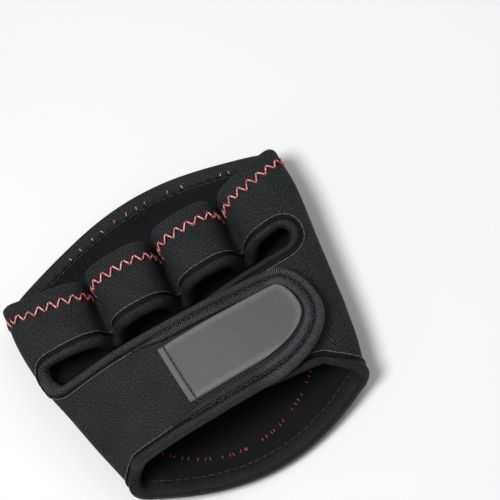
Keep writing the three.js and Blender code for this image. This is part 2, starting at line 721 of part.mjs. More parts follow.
function edgeBinding() {
  const route = thinned(tapeRoute(), TAPE_STEP);
  const inner = NEOPRENE / 2 + TAPE_CLEAR;
  const outer = inner + TAPE;
  const ring = route.map(({ panel, s, y, point, tangent }) => {
    const { normal } = frameOn(panel, s, y);
    const inward = tangent.clone().cross(normal).normalize();
    const sample = (distance) => {
      const place = walk(panel, { s, y }, inward, distance);
      return { p: pointOn(panel, place.s, place.y), n: frameOn(panel, place.s, place.y).normal };
    };
    const reach = Array.from({ length: TAPE_ROWS }, (_, k) => sample(TAPE_WIDTH * (1 - k / TAPE_ROWS)));
    const edge = { p: point, n: normal };
    const off = ({ p, n }, height, back = 0) => p.clone().addScaledVector(n, height).addScaledVector(inward, -back);
    return [
      ...reach.map((place) => off(place, outer)),
      off(edge, outer, TAPE_BACK * TAPE_SHOULDER),
      off(edge, 0, TAPE_BACK),
      off(edge, -outer, TAPE_BACK * TAPE_SHOULDER),
      ...reach.map((place) => off(place, -outer)).reverse(),
      ...reach.map((place) => off(place, -inner)),
      off(edge, -inner, TAPE_SLOT),
      off(edge, inner, TAPE_SLOT),
      ...reach.map((place) => off(place, inner)).reverse(),
    ];
  });
  const count = ring[0].length;
  const points = ring.flat();
  const triangles = [];
  for (let i = 0; i < ring.length - 1; i += 1) {
    for (let k = 0; k < count; k += 1) {
      const a = i * count + k;
      const b = i * count + ((k + 1) % count);
      triangles.push([a, b, b + count], [a, b + count, a + count]);
    }
  }
  const end = (ring.length - 1) * count;
  tapeCap(count).forEach(([a, b, c]) => {
    triangles.push([a, c, b], [end + a, end + b, end + c]);
  });
  return solid('edge_binding', points, triangles, TAPE_LOOK);
}

const pieces = [
  palmPanel(),
  fingerStrip(),
  wristStrap(),
  closureUnderlap(),
  gripPatch(),
  tabPatch(),
  hookPad(),
  edgeBinding(),
];

// Stand the pad on the floor, with the middle of its box over the origin.
const whole = new THREE.Box3();
pieces.forEach((piece) => whole.expandByObject(piece));
const group = new THREE.Group();
group.position.set(-(whole.min.x + whole.max.x) / 2, -(whole.min.y + whole.max.y) / 2, -whole.min.z);
pieces.forEach((piece) => group.add(piece));

export default group;
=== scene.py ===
"""Lifting grip pad: a neoprene palm with four finger loops and a strap that closes on a tab."""
import math

import bpy
import numpy as np
from bpy.props import FloatProperty, FloatVectorProperty, IntProperty, PointerProperty
from mathutils import Matrix, Vector


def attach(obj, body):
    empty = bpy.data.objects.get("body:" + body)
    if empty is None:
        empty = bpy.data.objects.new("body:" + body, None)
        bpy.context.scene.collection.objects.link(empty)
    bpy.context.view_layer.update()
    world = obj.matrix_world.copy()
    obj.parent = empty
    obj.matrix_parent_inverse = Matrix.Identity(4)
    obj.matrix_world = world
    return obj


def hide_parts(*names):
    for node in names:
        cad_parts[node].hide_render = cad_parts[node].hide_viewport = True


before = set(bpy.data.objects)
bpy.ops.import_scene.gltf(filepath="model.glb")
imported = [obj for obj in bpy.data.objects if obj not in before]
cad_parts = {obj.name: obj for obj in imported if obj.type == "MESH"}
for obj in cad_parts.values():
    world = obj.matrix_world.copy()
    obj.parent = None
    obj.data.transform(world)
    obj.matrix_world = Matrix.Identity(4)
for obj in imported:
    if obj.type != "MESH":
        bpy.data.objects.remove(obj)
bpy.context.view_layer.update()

bl_info = {
    "name": "Lifting Grip Pad",
    "version": (1, 0, 0),
    "blender": (4, 5, 0),
    "location": "3D View > Sidebar > Grip Pad",
    "description": "Builds a neoprene weight lifting grip pad with taped edges, stitches and a closing strap",
    "category": "Add Mesh",
}

MM = 0.001                     # the pad is drawn in millimetres
FLOOR_GAP = 0.00002            # metres between the floor and what lies on it
TAU = 2 * math.pi
ORIGIN = np.array((0.787, 38.733, -0.15))   # where the drawing's own origin lies in the frame

# Sizes of the pad, in millimetres. X runs across to the little finger's side, Y to the fingers, Z up.
NEOPRENE = 2.5                 # thickness of the neoprene
HEM_EXTRA = 0.8                # a turned hem is this much thicker, on its inner side
HEM = 6.5                      # width of the turned hem
GRIP = 0.8                     # thickness of the rubberised cloth under the palm
TAB_PATCH = 0.8                # thickness of the grey patch on the tab
LYING = 0.35                   # room under a piece that lies on another
PALM_FLOOR = GRIP + LYING + NEOPRENE / 2
PALM_SAGITTA = 16              # how far the palm's front edge bows out past its corners
STRIP_SAGITTA = 5              # how far the finger strip's front edge is drawn back at mid width
STRIP_REAR = -26.5             # rear edge of the finger strip at its ends
STRIP_REAR_BOW = 1.8           # how far that edge bows back at mid width
STRAP_FRONT = -36.9            # front edge of the strap at the thumb side
STRAP_SLANT = 0.055            # how much that edge falls back for each millimetre across
STRAP_REAR = -72.5             # rear edge of the strap
FLAP_FRONT = -35.5             # the underlap's edges, and how far they draw in towards its free end
FLAP_REAR = -67.6
FLAP_TAPER = 3.2
HEEL_Y = -92.3                 # hindmost point of the palm, and where across the palm it lies
HEEL_X = 5
HEEL_BOW = 0.0064              # how sharply the heel bows, per millimetre round the wall
REAR_EASE = 1.1                # how softly that bow runs into the strap's and the underlap's rear edges
PANEL_REACH = (-104.0, 26.0)   # rearmost and foremost y at which the panels' sections are worked out

# Sizes of the tape that is folded over the open edges
TAPE_WIDTH = 3.7               # how far its inner leaf reaches over the cloth
TAPE_INNER = 4.3               # the same on the inside of the wrist opening
TAPE_REACH = 3.2               # how far its outer leaf reaches, past the seam
TAPE_WIDE = 5.3                # the same round the tab
TAPE_CREST = 2.25              # height of its leaves off the wall's middle, where they are fullest
TAPE_BACK = 0.95               # how far it stands out behind the edge
TAPE_CLEAR = 0.12              # room between the tape and the cloth in it
LOOP_ROLL = 1.0                # how much fuller the tape's roll is behind the finger loops
SEAM = 2.45                    # distance of the tape's seam from the edge

# Sizes of the patches and the stitches
TAB_INSET = 5.6                # how far the grey patch lies in from the tab's edges
TAB_START = -11.0              # where the tab begins, as x
TAB_SEAM = 2.3                 # distance of the grey patch's seam from its end
HEM_STITCH = 6.2               # distance of the red zigzag from the hem's edge
PALM_HEM_LESS = 1.0            # how much less it is along the palm's front
PITCH = 4.0                    # length of one zigzag
ZIGZAG = 2.9                   # its width
DOT = 1.25                     # length of the thread that shows on a seam's other side
PALM_SEAM = (1.5, -24.0)       # front and rear ends of the loops' seams under the palm
PINCH_GAP = 1.5                # the zigzag stops this many section points before them, in the fold
BAR_TACK = 0.66                # how far along them the bar tacks lie
STITCH_STEPS = 12              # points along each stitch
EDGE_STEPS = (0.0, 0.08, 0.25, 0.55, 0.95, 1.5)    # grid lines near a panel's edge, as distances from it

# The tube along the hand: half widths, height of the side folds, lift of the palm and fullness of the folds.
TUBE = np.array([
    # y, left, right, fold height, lift, fullness
    (16, 53.4, 52.6, 14.2, 0.9, 1.0),
    (0, 54.0, 53.2, 14.1, 0.1, 1.0),
    (-15, 55.2, 53.6, 13.9, 0.0, 1.0),
    (-30, 53.2, 52.2, 13.7, 0.0, 1.0),
    (-45, 49.4, 50.4, 13.2, 0.0, 1.0),
    (-60, 45.9, 48.2, 12.6, 0.1, 1.05),
    (-75, 42.0, 45.2, 11.6, 0.6, 1.12),
    (-94, 37.6, 40.0, 10.3, 2.0, 1.12),
])
# Half of the palm's hollow: shares of the reach and height at which the side fold begins.
PALM_BOWL = ((0.0, 0.0), (0.32, 0.05), (0.53, 0.17), (0.735, 0.43), (0.9, 0.75), (0.955, 0.86))
FOLD_RADIUS = 3.9
FOLD_ANGLES = (-58, -28, 0)
# Where the sides turn over above the fold: in from it and up from it.
LEFT_TURN = ((0.5, 1.95), (1.95, 3.4), (4.8, 5.1))
RIGHT_TURN = ((0.5, 1.95), (1.95, 3.4), (5.2, 4.9), (9.2, 5.8))
# Lines at which the finger strip is sewn down, and tops of the loops between them.
PINCHES = (-24.5, 1.6, 27.0)
PINCH_LIFT = 1.45
MIDDLE_TOP = 21.0
RING_TOP = 21.4
SIDE_TOP = 19.7
# Half arches of the loops: shares of the span from the pinch at the hem and at the tape, share of the rise.
LOOP_ARCH = (
    (0.095, 0.11, 0.03), (0.158, 0.20, 0.14), (0.18, 0.25, 0.35), (0.215, 0.31, 0.63), (0.35, 0.46, 0.86),
    (0.66, 0.72, 0.98),
)
INDEX_ARCH = (
    (0.051, 0.06, 0.03), (0.088, 0.11, 0.14), (0.105, 0.15, 0.35), (0.16, 0.22, 0.66), (0.38, 0.44, 0.94),
    (0.75, 0.77, 1.0),
)
LITTLE_ARCH = (
    (0.07, 0.085, 0.03), (0.12, 0.155, 0.13), (0.145, 0.205, 0.34), (0.21, 0.30, 0.64), (0.43, 0.51, 0.92),
    (0.76, 0.78, 1.0),
)
LOOP_EASE_FROM = 8             # distances behind the front corners over which the loops' sides move apart
LOOP_EASE_TO = 21
# The strap's arch over the back of the hand, and the underlap's below it: x, z.
STRAP_ARCH = (
    (-32, 23.0), (-24, 25.4), (-15, 27.0), (-5, 27.7), (5, 27.8), (15, 27.4), (24, 26.5), (33, 25.0),
    (42.5, 22.9),
)
FLAP_ARCH = ((30, 20.2), (22, 21.3), (14, 21.9), (7, 22.1))
TAB_REACH = 42.4               # the tab's tip, and how far its end bows out before and behind it
TAB_FRONT_BOW = 10.0
TAB_REAR_BOW = 26.0
TAB_TIP_SIDE = 0.47
# Outline of the patch under the palm: y, half width.
GRIP_OUTLINE = np.array([
    (7.8, 3.0), (5.2, 15.0), (0.6, 29.5), (-4.9, 36.5), (-13.0, 40.6), (-27.0, 42.6), (-41.0, 41.6),
    (-55.0, 37.2), (-67.0, 29.8), (-75.0, 21.0), (-80.0, 10.5), (-81.5, 3.0),
])


# Smooth curves

def unit(vectors):
    return vectors / np.linalg.norm(vectors, axis=-1, keepdims=True)


def run_along(points):
    """Distance along a line to each of its points."""
    return np.concatenate([[0], np.cumsum(np.linalg.norm(np.diff(points, axis=0), axis=1))])


def bell(distance, width):
    """1 at a distance of 0, falling off to both sides."""
    return np.exp(-((distance / width) ** 2))


def between(value, low, high, ease):
    """1 between two values and 0 outside them, with a smooth change."""
    return 0.5 * (np.tanh((value - low) / ease) - np.tanh((value - high) / ease))


def close_at_ends(count):
    """Shares from 0 to 1 that lie closer together at both ends."""
    return (1 - np.cos(np.linspace(0, np.pi, count))) / 2


def through(a, b, c, d, t):
    """A smooth curve from b to c, at shares t between them, with the points before and after."""
    return 0.5 * (2 * b + (c - a) * t + (2 * a - 5 * b + 4 * c - d) * t**2 + (3 * b - a - 3 * c + d) * t**3)


def spline(table, place):
    """Values of a table's rows at places between them."""
    table = np.asarray(table, float)
    padded = np.concatenate([[2 * table[0] - table[1]], table, [2 * table[-1] - table[-2]]])
    place = np.asarray(place, float)
    i = np.clip(np.floor(place).astype(int), 0, len(table) - 2)
    t = place - i
    if table.ndim > 1:
        t = t[..., None]
    return through(*(padded[i + k] for k in range(4)), t)


def tube(y):
    """The tube's measures at y: half widths to left and right, fold height, lift and fullness."""
    y = np.atleast_1d(np.asarray(y, float))
    rows = TUBE[:, 0]
    i = np.clip(np.searchsorted(-rows, -y, side="left") - 1, 0, len(rows) - 2)
    share = np.clip((rows[i] - y) / (rows[i] - rows[i + 1]), 0, 1)
    return spline(TUBE[:, 1:], i + share).T


# Sections across the hand: points x, z of the wall's middle, for each y

LEFT_JOINT = 1                 # places in the palm's list of section points
LEFT_FOLD = len(LEFT_TURN)
PALM_MIDDLE = LEFT_FOLD + len(PALM_BOWL) + len(FOLD_ANGLES) - 1
RIGHT_FOLD = 2 * PALM_MIDDLE - LEFT_FOLD
RIGHT_JOINT = RIGHT_FOLD + 3
RUN_IN = 4                     # palm points that each top panel repeats, so that it runs on smoothly
PINCH_STEP = 2 * len(LOOP_ARCH) + 2     # places of the sewn-down lines in the strip's list of section points
PINCH_PLACES = [LEFT_JOINT + 1 + RUN_IN + len(INDEX_ARCH) + PINCH_STEP * k for k in range(len(PINCHES))]


def stack_points(points, count):
    """An array of count sections from a list of points, whose x and z are numbers or arrays."""
    return np.stack([np.stack([np.broadcast_to(v, count) for v in point], -1) for point in points], 1)


def palm_section(y):
    left, right, fold, lift, fullness = tube(y)
    floor = PALM_FLOOR + lift
    radius = FOLD_RADIUS * fullness
    sides = {}
    for side, outer, turn in ((-1, left, LEFT_TURN), (1, right, RIGHT_TURN)):
        width = outer - NEOPRENE / 2
        bend = []
        for angle in np.radians(FOLD_ANGLES):
            bend.append((side * (width - radius * (1 - math.cos(angle))), fold + radius * math.sin(angle)))
        bowl = [(bend[0][0] * across, floor + (bend[0][1] - floor) * rise) for across, rise in PALM_BOWL]
        over = [(side * (width - inward * fullness), fold + up * fullness) for inward, up in turn]
        sides[side] = bowl + bend + over
    return stack_points(sides[-1][::-1] + sides[1][1:], len(floor))


def palm_height(x, section):
    """Height of the palm's hollow at x, in each section."""
    found = []
    for points in section:
        i = LEFT_FOLD - 1 + int(np.searchsorted(points[LEFT_FOLD:RIGHT_FOLD + 1, 0], x))
        i = min(max(i, LEFT_FOLD), RIGHT_FOLD - 1)
        t = (x - points[i, 0]) / (points[i + 1, 0] - points[i, 0])
        found.append(float(spline(points[:, 1], i + t)))
    return np.array(found)


def loop_points(section, y):
    """The arches between the side folds."""
    ease = np.clip((-np.asarray(y, float) - LOOP_EASE_FROM) / (LOOP_EASE_TO - LOOP_EASE_FROM), 0, 1)
    rearward = ease * ease * (3 - 2 * ease)
    feet = [(x, palm_height(x, section) + NEOPRENE + LYING + PINCH_LIFT) for x in PINCHES]
    left_edge, right_edge = section[:, 0, 0], section[:, -1, 0]

    def rise(foot, to, top, arch):
        points = []
        for hem, tape, up in arch:
            along = hem + (tape - hem) * rearward
            points.append((foot[0] + (to - foot[0]) * along, foot[1] + (top - foot[1]) * up))
        return points

    def inner(a, b, top):
        middle = (a[0] + b[0]) / 2
        return rise(a, middle, top, LOOP_ARCH) + [(middle, top)] + rise(b, middle, top, LOOP_ARCH)[::-1]

    points = (
        rise(feet[0], left_edge, SIDE_TOP, INDEX_ARCH)[::-1] + [feet[0]]
        + inner(feet[0], feet[1], MIDDLE_TOP) + [feet[1]]
        + inner(feet[1], feet[2], RING_TOP) + [feet[2]]
        + rise(feet[2], right_edge, SIDE_TOP, LITTLE_ARCH)
    )
    return stack_points(points, len(section))


def left_end(palm):
    """The palm's points that lead from its left side on to a top panel."""
    return palm[:, :LEFT_JOINT + 1 + RUN_IN][:, ::-1]


def right_end(palm):
    return palm[:, RIGHT_JOINT - RUN_IN:]


def arch(table, palm):
    return np.broadcast_to(np.array(table, float), (len(palm), len(table), 2))


def strip_section(y):
    palm = palm_section(y)
    return np.concatenate([left_end(palm), loop_points(palm, y), right_end(palm)[:, ::-1]], 1)


def strap_section(y):
    palm = palm_section(y)
    return np.concatenate([left_end(palm), arch(STRAP_ARCH, palm)], 1)


def flap_section(y):
    palm = palm_section(y)
    return np.concatenate([right_end(palm), arch(FLAP_ARCH, palm)], 1)


class Panel:
    """One wall of the pad. A place on it is s, round the section, and y, along the hand."""

    STEP = 0.25

    def __init__(self, section, outward, start, end):
        self.rows = np.arange(*PANEL_REACH, self.STEP)
        grid = section(self.rows)
        before, after = 2 * grid[:, :1] - grid[:, 1:2], 2 * grid[:, -1:] - grid[:, -2:-1]
        self.grid = np.concatenate([before, grid, after], 1)
        self.outward, self.start, self.end = outward, start, end

    def bare(self, s, y):
        """Points on the middle of the wall."""
        s, y = np.broadcast_arrays(np.asarray(s, float), np.asarray(y, float))
        row = np.clip((y - self.rows[0]) / self.STEP, 0, len(self.rows) - 1.001)
        j = row.astype(int)
        v = (row - j)[..., None]
        i = np.clip(np.floor(s).astype(int), 0, self.grid.shape[1] - 4)
        t = (s - i)[..., None]
        xz = through(*(self.grid[j, i + k] * (1 - v) + self.grid[j + 1, i + k] * v for k in range(4)), t)
        return np.stack([xz[..., 0], y, xz[..., 1]], -1)

    def frame(self, s, y):
        """Directions round and along the wall, and out of it."""
        girth = (self.bare(s + 0.02, y) - self.bare(s - 0.02, y)) / 0.04
        length = (self.bare(s, y + 0.3) - self.bare(s, y - 0.3)) / 0.6
        normal = np.cross(girth, length)
        normal *= self.outward / np.linalg.norm(normal, axis=-1, keepdims=True)
        return girth, length, normal

    def at(self, s, y, height=0.0):
        """Points at a height off the wall's middle."""
        point = self.bare(s, y)
        height = np.broadcast_to(np.asarray(height, float), point.shape[:-1])
        return point + self.frame(s, y)[2] * height[..., None]

    def walk(self, s, y, heading, distance):
        """Places reached over the wall from places, in given directions."""
        s, y, heading = np.array(s, float), np.array(y, float), np.array(heading, float)
        distance = np.broadcast_to(np.asarray(distance, float), s.shape)
        steps = max(1, math.ceil(float(np.abs(distance).max()) / 0.8))
        for _ in range(steps):
            girth, length, normal = self.frame(s, y)
            heading = unit(heading - normal * (heading * normal).sum(-1, keepdims=True))
            step = heading * (distance / steps)[..., None]
            gg, gl, ll = (girth**2).sum(-1), (girth * length).sum(-1), (length**2).sum(-1)
            g, l = (girth * step).sum(-1), (length * step).sum(-1)
            det = gg * ll - gl**2
            s = s + (g * ll - l * gl) / det
            y = y + (l * gg - g * gl) / det
        return s, y

    def place_at_x(self, x, y, low, high):
        """The places that reach x between two places."""
        x, y = np.broadcast_arrays(np.asarray(x, float), np.asarray(y, float))
        low, high = np.full(x.shape, float(low)), np.full(x.shape, float(high))
        rising = self.bare(high, y)[..., 0] > self.bare(low, y)[..., 0]
        for _ in range(34):
            middle = (low + high) / 2
            below = (self.bare(middle, y)[..., 0] < x) == rising
            low, high = np.where(below, middle, low), np.where(below, high, middle)
        return (low + high) / 2


# The hole over the back of the hand: y and radius of its round ends
LEFT_END = ((STRAP_FRONT + STRIP_REAR) / 2, (STRIP_REAR - STRAP_FRONT) / 2)
RIGHT_END = ((FLAP_FRONT + STRIP_REAR) / 2, (STRIP_REAR - FLAP_FRONT) / 2)

palm = Panel(palm_section, -1, LEFT_JOINT, RIGHT_JOINT)
strip = Panel(strip_section, 1, RUN_IN, strip_section(np.zeros(1)).shape[1] - 1 - RUN_IN)
strap = Panel(strap_section, 1, RUN_IN, RUN_IN + 1 + LEFT_JOINT + len(STRAP_ARCH) - 1)
flap = Panel(flap_section, -1, RUN_IN, RUN_IN + len(RIGHT_TURN) - 3 + len(FLAP_ARCH))


# Edges of the panels, as y at a place s

def round_end(panel, joint, s, end, towards):
    """Half circle that ends the hole at a joint."""
    middle, radius = end
    steps = np.linspace(0, 1, 13)
    s = np.asarray(s, float)
    path = joint + (s[..., None] - joint) * steps
    run = np.linalg.norm(np.diff(panel.bare(path, middle), axis=-2), axis=-1).sum(-1)
    return middle + towards * np.sqrt(radius**2 - np.clip(radius - run, 0, None) ** 2)


SECTION_0 = palm_section(0)[0]
HEEL_SECTION = palm_section(-80)[0]
HEEL_GIRTH = run_along(HEEL_SECTION)


def strip_bow(share):
    return -STRIP_SAGITTA * (1 - np.abs(share) ** 4)


def palm_front(s):
    s = np.asarray(s, float)
    x = spline(SECTION_0[:, 0], s)
    share = np.where(s < PALM_MIDDLE, x / SECTION_0[LEFT_FOLD, 0], x / SECTION_0[RIGHT_FOLD, 0])
    return np.where((s < LEFT_FOLD) | (s > RIGHT_FOLD), strip_bow(share), PALM_SAGITTA * (1 - share**2))


def heel_edge(s):
    s = np.clip(np.asarray(s, float), 0, len(HEEL_GIRTH) - 1)
    reach = spline(HEEL_GIRTH, s) - float(spline(HEEL_GIRTH, PALM_MIDDLE)) - HEEL_X
    side = np.where(reach < 0, STRAP_REAR, FLAP_REAR)
    short = side - (HEEL_Y + HEEL_BOW * reach**2)
    return side - (short + np.sqrt(short**2 + 4 * REAR_EASE**2)) / 2


STRIP_SECTION_0 = strip_section(np.zeros(1))[0]


def strip_front(s):
    return strip_bow(spline(STRIP_SECTION_0[:, 0], s) / (tube(0)[1][0] - NEOPRENE / 2))


def strip_rear(s):
    s = np.asarray(s, float)
    share = (2 * s - strip.start - strip.end) / (strip.end - strip.start)
    left = round_end(strip, strip.start, np.minimum(s, strip.start + 4), LEFT_END, 1)
    right = round_end(strip, strip.end, np.maximum(s, strip.end - 4), RIGHT_END, 1)
    return np.where(share < 0, left, right) - STRIP_REAR_BOW * (1 - share**4)


def strap_front(s):
    s = np.asarray(s, float)
    x = strap.bare(s, LEFT_END[0])[..., 0] - strap.bare(strap.start, LEFT_END[0])[..., 0]
    return round_end(strap, strap.start, np.minimum(s, strap.start + 4), LEFT_END, -1) - STRAP_SLANT * x


def strap_rear(s):
    return np.minimum(heel_edge(LEFT_JOINT + RUN_IN - np.asarray(s, float)), STRAP_REAR)


def tab_tip(side):
    """The place at which the strap ends: side runs from 0 at its front edge to 1 at its rear edge."""
    side = np.asarray(side, float)
    front = side < TAB_TIP_SIDE
    forward = np.where(front, side / TAB_TIP_SIDE, (1 - side) / (1 - TAB_TIP_SIDE))
    bow = np.where(front, TAB_FRONT_BOW, TAB_REAR_BOW)
    x = TAB_REACH - bow * (1 - np.sqrt(1 - (1 - forward) ** 2))
    return strap.place_at_x(x, (STRAP_FRONT + STRAP_REAR) / 2, strap.start, strap.end)


def flap_taper(s):
    """How far each edge of the underlap draws in towards its free end."""
    return FLAP_TAPER * ((np.asarray(s, float) - flap.start) / (flap.end - flap.start)) ** 2


def flap_front(s):
    s = np.asarray(s, float)
    return round_end(flap, flap.start, np.minimum(s, flap.start + 3), RIGHT_END, -1) - flap_taper(s)


def flap_rear(s):
    s = np.asarray(s, float)
    return np.minimum(heel_edge(s + RIGHT_JOINT - RUN_IN), FLAP_REAR) + flap_taper(s)


# Meshes

def cloth_drift(points):
    """The soft unevenness of worn cloth: the same small push for all at one place, and none on the floor."""
    x, y, z = points[..., 0], points[..., 1], points[..., 2]
    push = np.zeros(points.shape)
    push[..., 0] = 0.22 * np.sin(y / 9.3 + z / 7.0 + 0.8)
    push[..., 2] = (0.26 * np.sin(x / 8.7 + 1.1) * np.sin(y / 10.3 + 0.4) + 0.12 * np.sin(x / 5.3 - y / 6.1)
                    + 0.07 * np.sin(y / 3.9 + x / 14.0 + 2.0))
    return push * np.clip((z - 2.6) / 5.0, 0, 1)[..., None]


def new_object(name, data):
    obj = bpy.data.objects.new(name, data)
    bpy.context.scene.collection.objects.link(obj)
    return obj


def mesh_object(name, points, faces, places, marks):
    """A mesh from points in the drawing's mm. places gives each point's place on the cloth, in mm."""
    points = np.asarray(points, float).reshape(-1, 3)
    points = (points + cloth_drift(points) + ORIGIN) * MM
    mesh = bpy.data.meshes.new(name)
    mesh.from_pydata(points.tolist(), [], faces)
    corners = np.empty(len(mesh.loops), dtype=np.int32)
    mesh.loops.foreach_get("vertex_index", corners)
    places = np.asarray(places, np.float32).reshape(-1, 2)[corners]
    mesh.uv_layers.new(name="Cloth").data.foreach_set("uv", places.ravel())
    for key, values in marks.items():
        values = np.asarray(values, np.float32).ravel()
        mesh.attributes.new(key, "FLOAT", "POINT").data.foreach_set("value", values)
    mesh.polygons.foreach_set("use_smooth", [True] * len(mesh.polygons))
    mesh.validate()
    return new_object(name, mesh)


def ring_faces(columns, ring):
    """Quads of a tube of columns rings."""
    a = (np.arange(columns - 1)[:, None] * ring + np.arange(ring)[None, :]).ravel()
    b = (np.arange(columns - 1)[:, None] * ring + (np.arange(ring)[None, :] + 1) % ring).ravel()
    return np.stack([a, b, b + ring, a + ring], 1).tolist()


def cap_faces(first, ring, turned):
    """Quads that close a ring whose second half runs back under its first."""
    faces = []
    half = ring // 2
    for k in range(half - 1):
        quad = [first + k, first + k + 1, first + ring - 2 - k, first + ring - 1 - k]
        faces.append(quad[::-1] if turned else quad)
    return faces


def outward(points, faces):
    """The faces, turned so that the closed mesh faces out."""
    p = np.asarray(points, float).reshape(-1, 3)
    p = p - p.mean(0)
    q = np.array([f[:3] for f in faces] + [[f[0], f[2], f[3]] for f in faces if len(f) == 4])
    volume = np.einsum("ij,ij->i", p[q[:, 0]], np.cross(p[q[:, 1]], p[q[:, 2]])).sum()
    return faces if volume > 0 else [f[::-1] for f in faces]


def wall(name, outer, inner, places, marks):
    """A closed wall between two grids of points (columns, rows, 3). marks hold values for either grid."""
    columns, rows = outer.shape[:2]
    ring = 2 * rows
    points = np.concatenate([outer, inner[:, ::-1]], 1)
    faces = ring_faces(columns, ring)
    faces += cap_faces(0, ring, False) + cap_faces((columns - 1) * ring, ring, True)
    both = np.concatenate([places, places[:, ::-1]], 1)
    marks = {key: np.concatenate([out, into[:, ::-1]], 1) for key, (out, into) in marks.items()}
    return mesh_object(name, points, outward(points, faces), both, marks)


def spaced(length, step, fine):
    """Distances from 0 to length, close together over the first and last fine steps."""
    near = np.array(fine)
    count = max(2, int(round((length - 2 * near[-1]) / step)))
    middle = np.linspace(near[-1], length - near[-1], count + 1)[1:-1]
    return np.concatenate([near, middle, length - near[::-1]])


def rounding(distance, radius):
    """Share of the full thickness at a distance from a rounded edge."""
    left = np.clip(1 - distance / radius, 0, 1)
    return np.sqrt(np.clip(1 - left**2, 0, 1))


def palm_hem(s):
    """Width of the palm's hem up to its stitches: less at the front than on the sides that fold up."""
    s = np.asarray(s, float)
    return HEM_STITCH - PALM_HEM_LESS * between(s, LEFT_FOLD + 1, RIGHT_FOLD - 1, 1.2)


class Sheet:
    """A neoprene panel laid out in columns along s and rows along y, with its distances in millimetres."""

    def __init__(self, panel, front, rear, step, tip=None):
        dense = np.linspace(panel.start, panel.end, 2000)
        at = float(np.mean(front(dense) + rear(dense)) / 2)
        run = run_along(panel.bare(dense, np.full(2000, at)))
        gap = 0.03
        run_at = gap + spaced(run[-1] - 2 * gap, step, EDGE_STEPS)
        self.columns = np.interp(run_at, run, dense)
        self.girth = run_at
        front_y, rear_y = front(self.columns), rear(self.columns)
        length = front_y - rear_y
        unit = spaced(float(length.mean()), step, EDGE_STEPS)
        head, tail = EDGE_STEPS[-1], unit[-1] - EDGE_STEPS[-1]
        share = (unit - head) / (tail - head)
        inside = np.clip(share, 0, 1)
        over = np.where(share < 0, unit - head, np.where(share > 1, unit - tail, 0))
        self.from_front = head + inside[None] * (length[:, None] - 2 * head) + over[None]
        self.from_rear = length[:, None] - self.from_front
        self.y = front_y[:, None] - self.from_front
        self.s = np.broadcast_to(self.columns[:, None], self.y.shape)
        if tip:
            side = np.clip(self.from_front / length[:, None], 0, 1)
            part = (self.columns - panel.start) / (panel.end - panel.start)
            self.s = panel.start + part[:, None] * (tip(side) - panel.start)
        self.from_end = np.broadcast_to((self.girth[-1] - self.girth)[:, None], self.y.shape)
        self.places = np.stack(np.broadcast_arrays(self.girth[:, None], self.from_front), -1)
        self.panel = panel
        self.width = float(run[-1])


def build_sheet(name, sheet, hem, sewn_on):
    """A neoprene panel as a closed wall. A hem is folded in at its front, and its end is sewn on or free."""
    d = sheet.from_front
    u = sheet.places[..., 0]
    edge = np.minimum(rounding(sheet.from_front, 1.35), rounding(sheet.from_rear, 1.2))
    if not sewn_on:
        edge = np.minimum(edge, rounding(sheet.from_end, 1.2))
    edge = np.maximum(edge, 0.06)
    outer = np.full(d.shape, NEOPRENE / 2)
    inner = np.full(d.shape, NEOPRENE / 2)
    # Painted shade: by default the whole inner face is darkened, as the hollow lies in shade
    inside = np.ones(d.shape)
    if hem:
        d = d + HEM_STITCH - (palm_hem(sheet.s) if sheet.panel is palm else HEM_STITCH)
        # The hem's outside: a roll, the line that the zigzag draws in, and its puckers
        stitch = bell(d - HEM_STITCH, 1.5)
        outer += 0.22 * bell(d - 2.4, 1.9) - 0.34 * stitch + 0.07 * np.cos(TAU * u / PITCH * 2) * stitch
        outer += 0.03 * np.sin(TAU * u / 3.1 + 1.7 * np.sin(u / 5)) * bell(d - 2, 2.5)
        # Its inside: the folded edge, scalloped between the stitches, and the wrinkles behind it
        scallop = np.cos(TAU * u / 3.4 + 0.9 * np.sin(u / 6))
        inner += HEM_EXTRA * (1 - 1 / (1 + np.exp(-(d - HEM - 0.3) / 0.16)))
        inner += (0.38 * scallop - 0.25) * bell(d - HEM_STITCH + 0.4, 0.9) - 0.45 * bell(d - HEM - 0.5, 0.6)
        wrinkle = 0.50 * scallop * (1 + 0.6 * np.sin(u / 4.1)) + 0.15 * np.sin(u / 0.9 + d / 1.7)
        inner += wrinkle * bell(d - HEM - 3.2, 2.6) * (d > HEM + 0.6)
        # On a hem the painted shade starts behind the hem and is deepest in the groove where its folded edge
        # ends
        inside = np.clip((d - HEM - 0.4) / 0.8, 0, 1) + (0.9 + 0.4 * scallop) * bell(d - HEM + 0.1, 0.75)
    outer += 0.05 * np.sin(u / 2.9 + 0.9 * np.sin(d / 5.1)) * np.sin(d / 4.3 + u / 11)
    top = sheet.panel.at(sheet.s, sheet.y, outer * edge)
    under = sheet.panel.at(sheet.s, sheet.y, -inner * edge)
    return wall(name, top, under, sheet.places, {"inside": (0 * inside, inside)})


# The stretches of the tape's route along the open edges, in order, and how pale each is: rubbed paler along
# the strap and round the tab, and darker as painted shade behind the loops, along the strap's rear edge, at
# the heel and on the underlap
FLAP_EDGE, LOOPS_EDGE, STRAP_EDGE, TAB_END, STRAP_REAR_EDGE, HEEL_EDGE, FLAP_REAR_EDGE = range(7)
WEAR_AND_LIGHT = np.array([0.45, 0.42, 0.95, 1.65, 0.66, 0.28, 0.4])


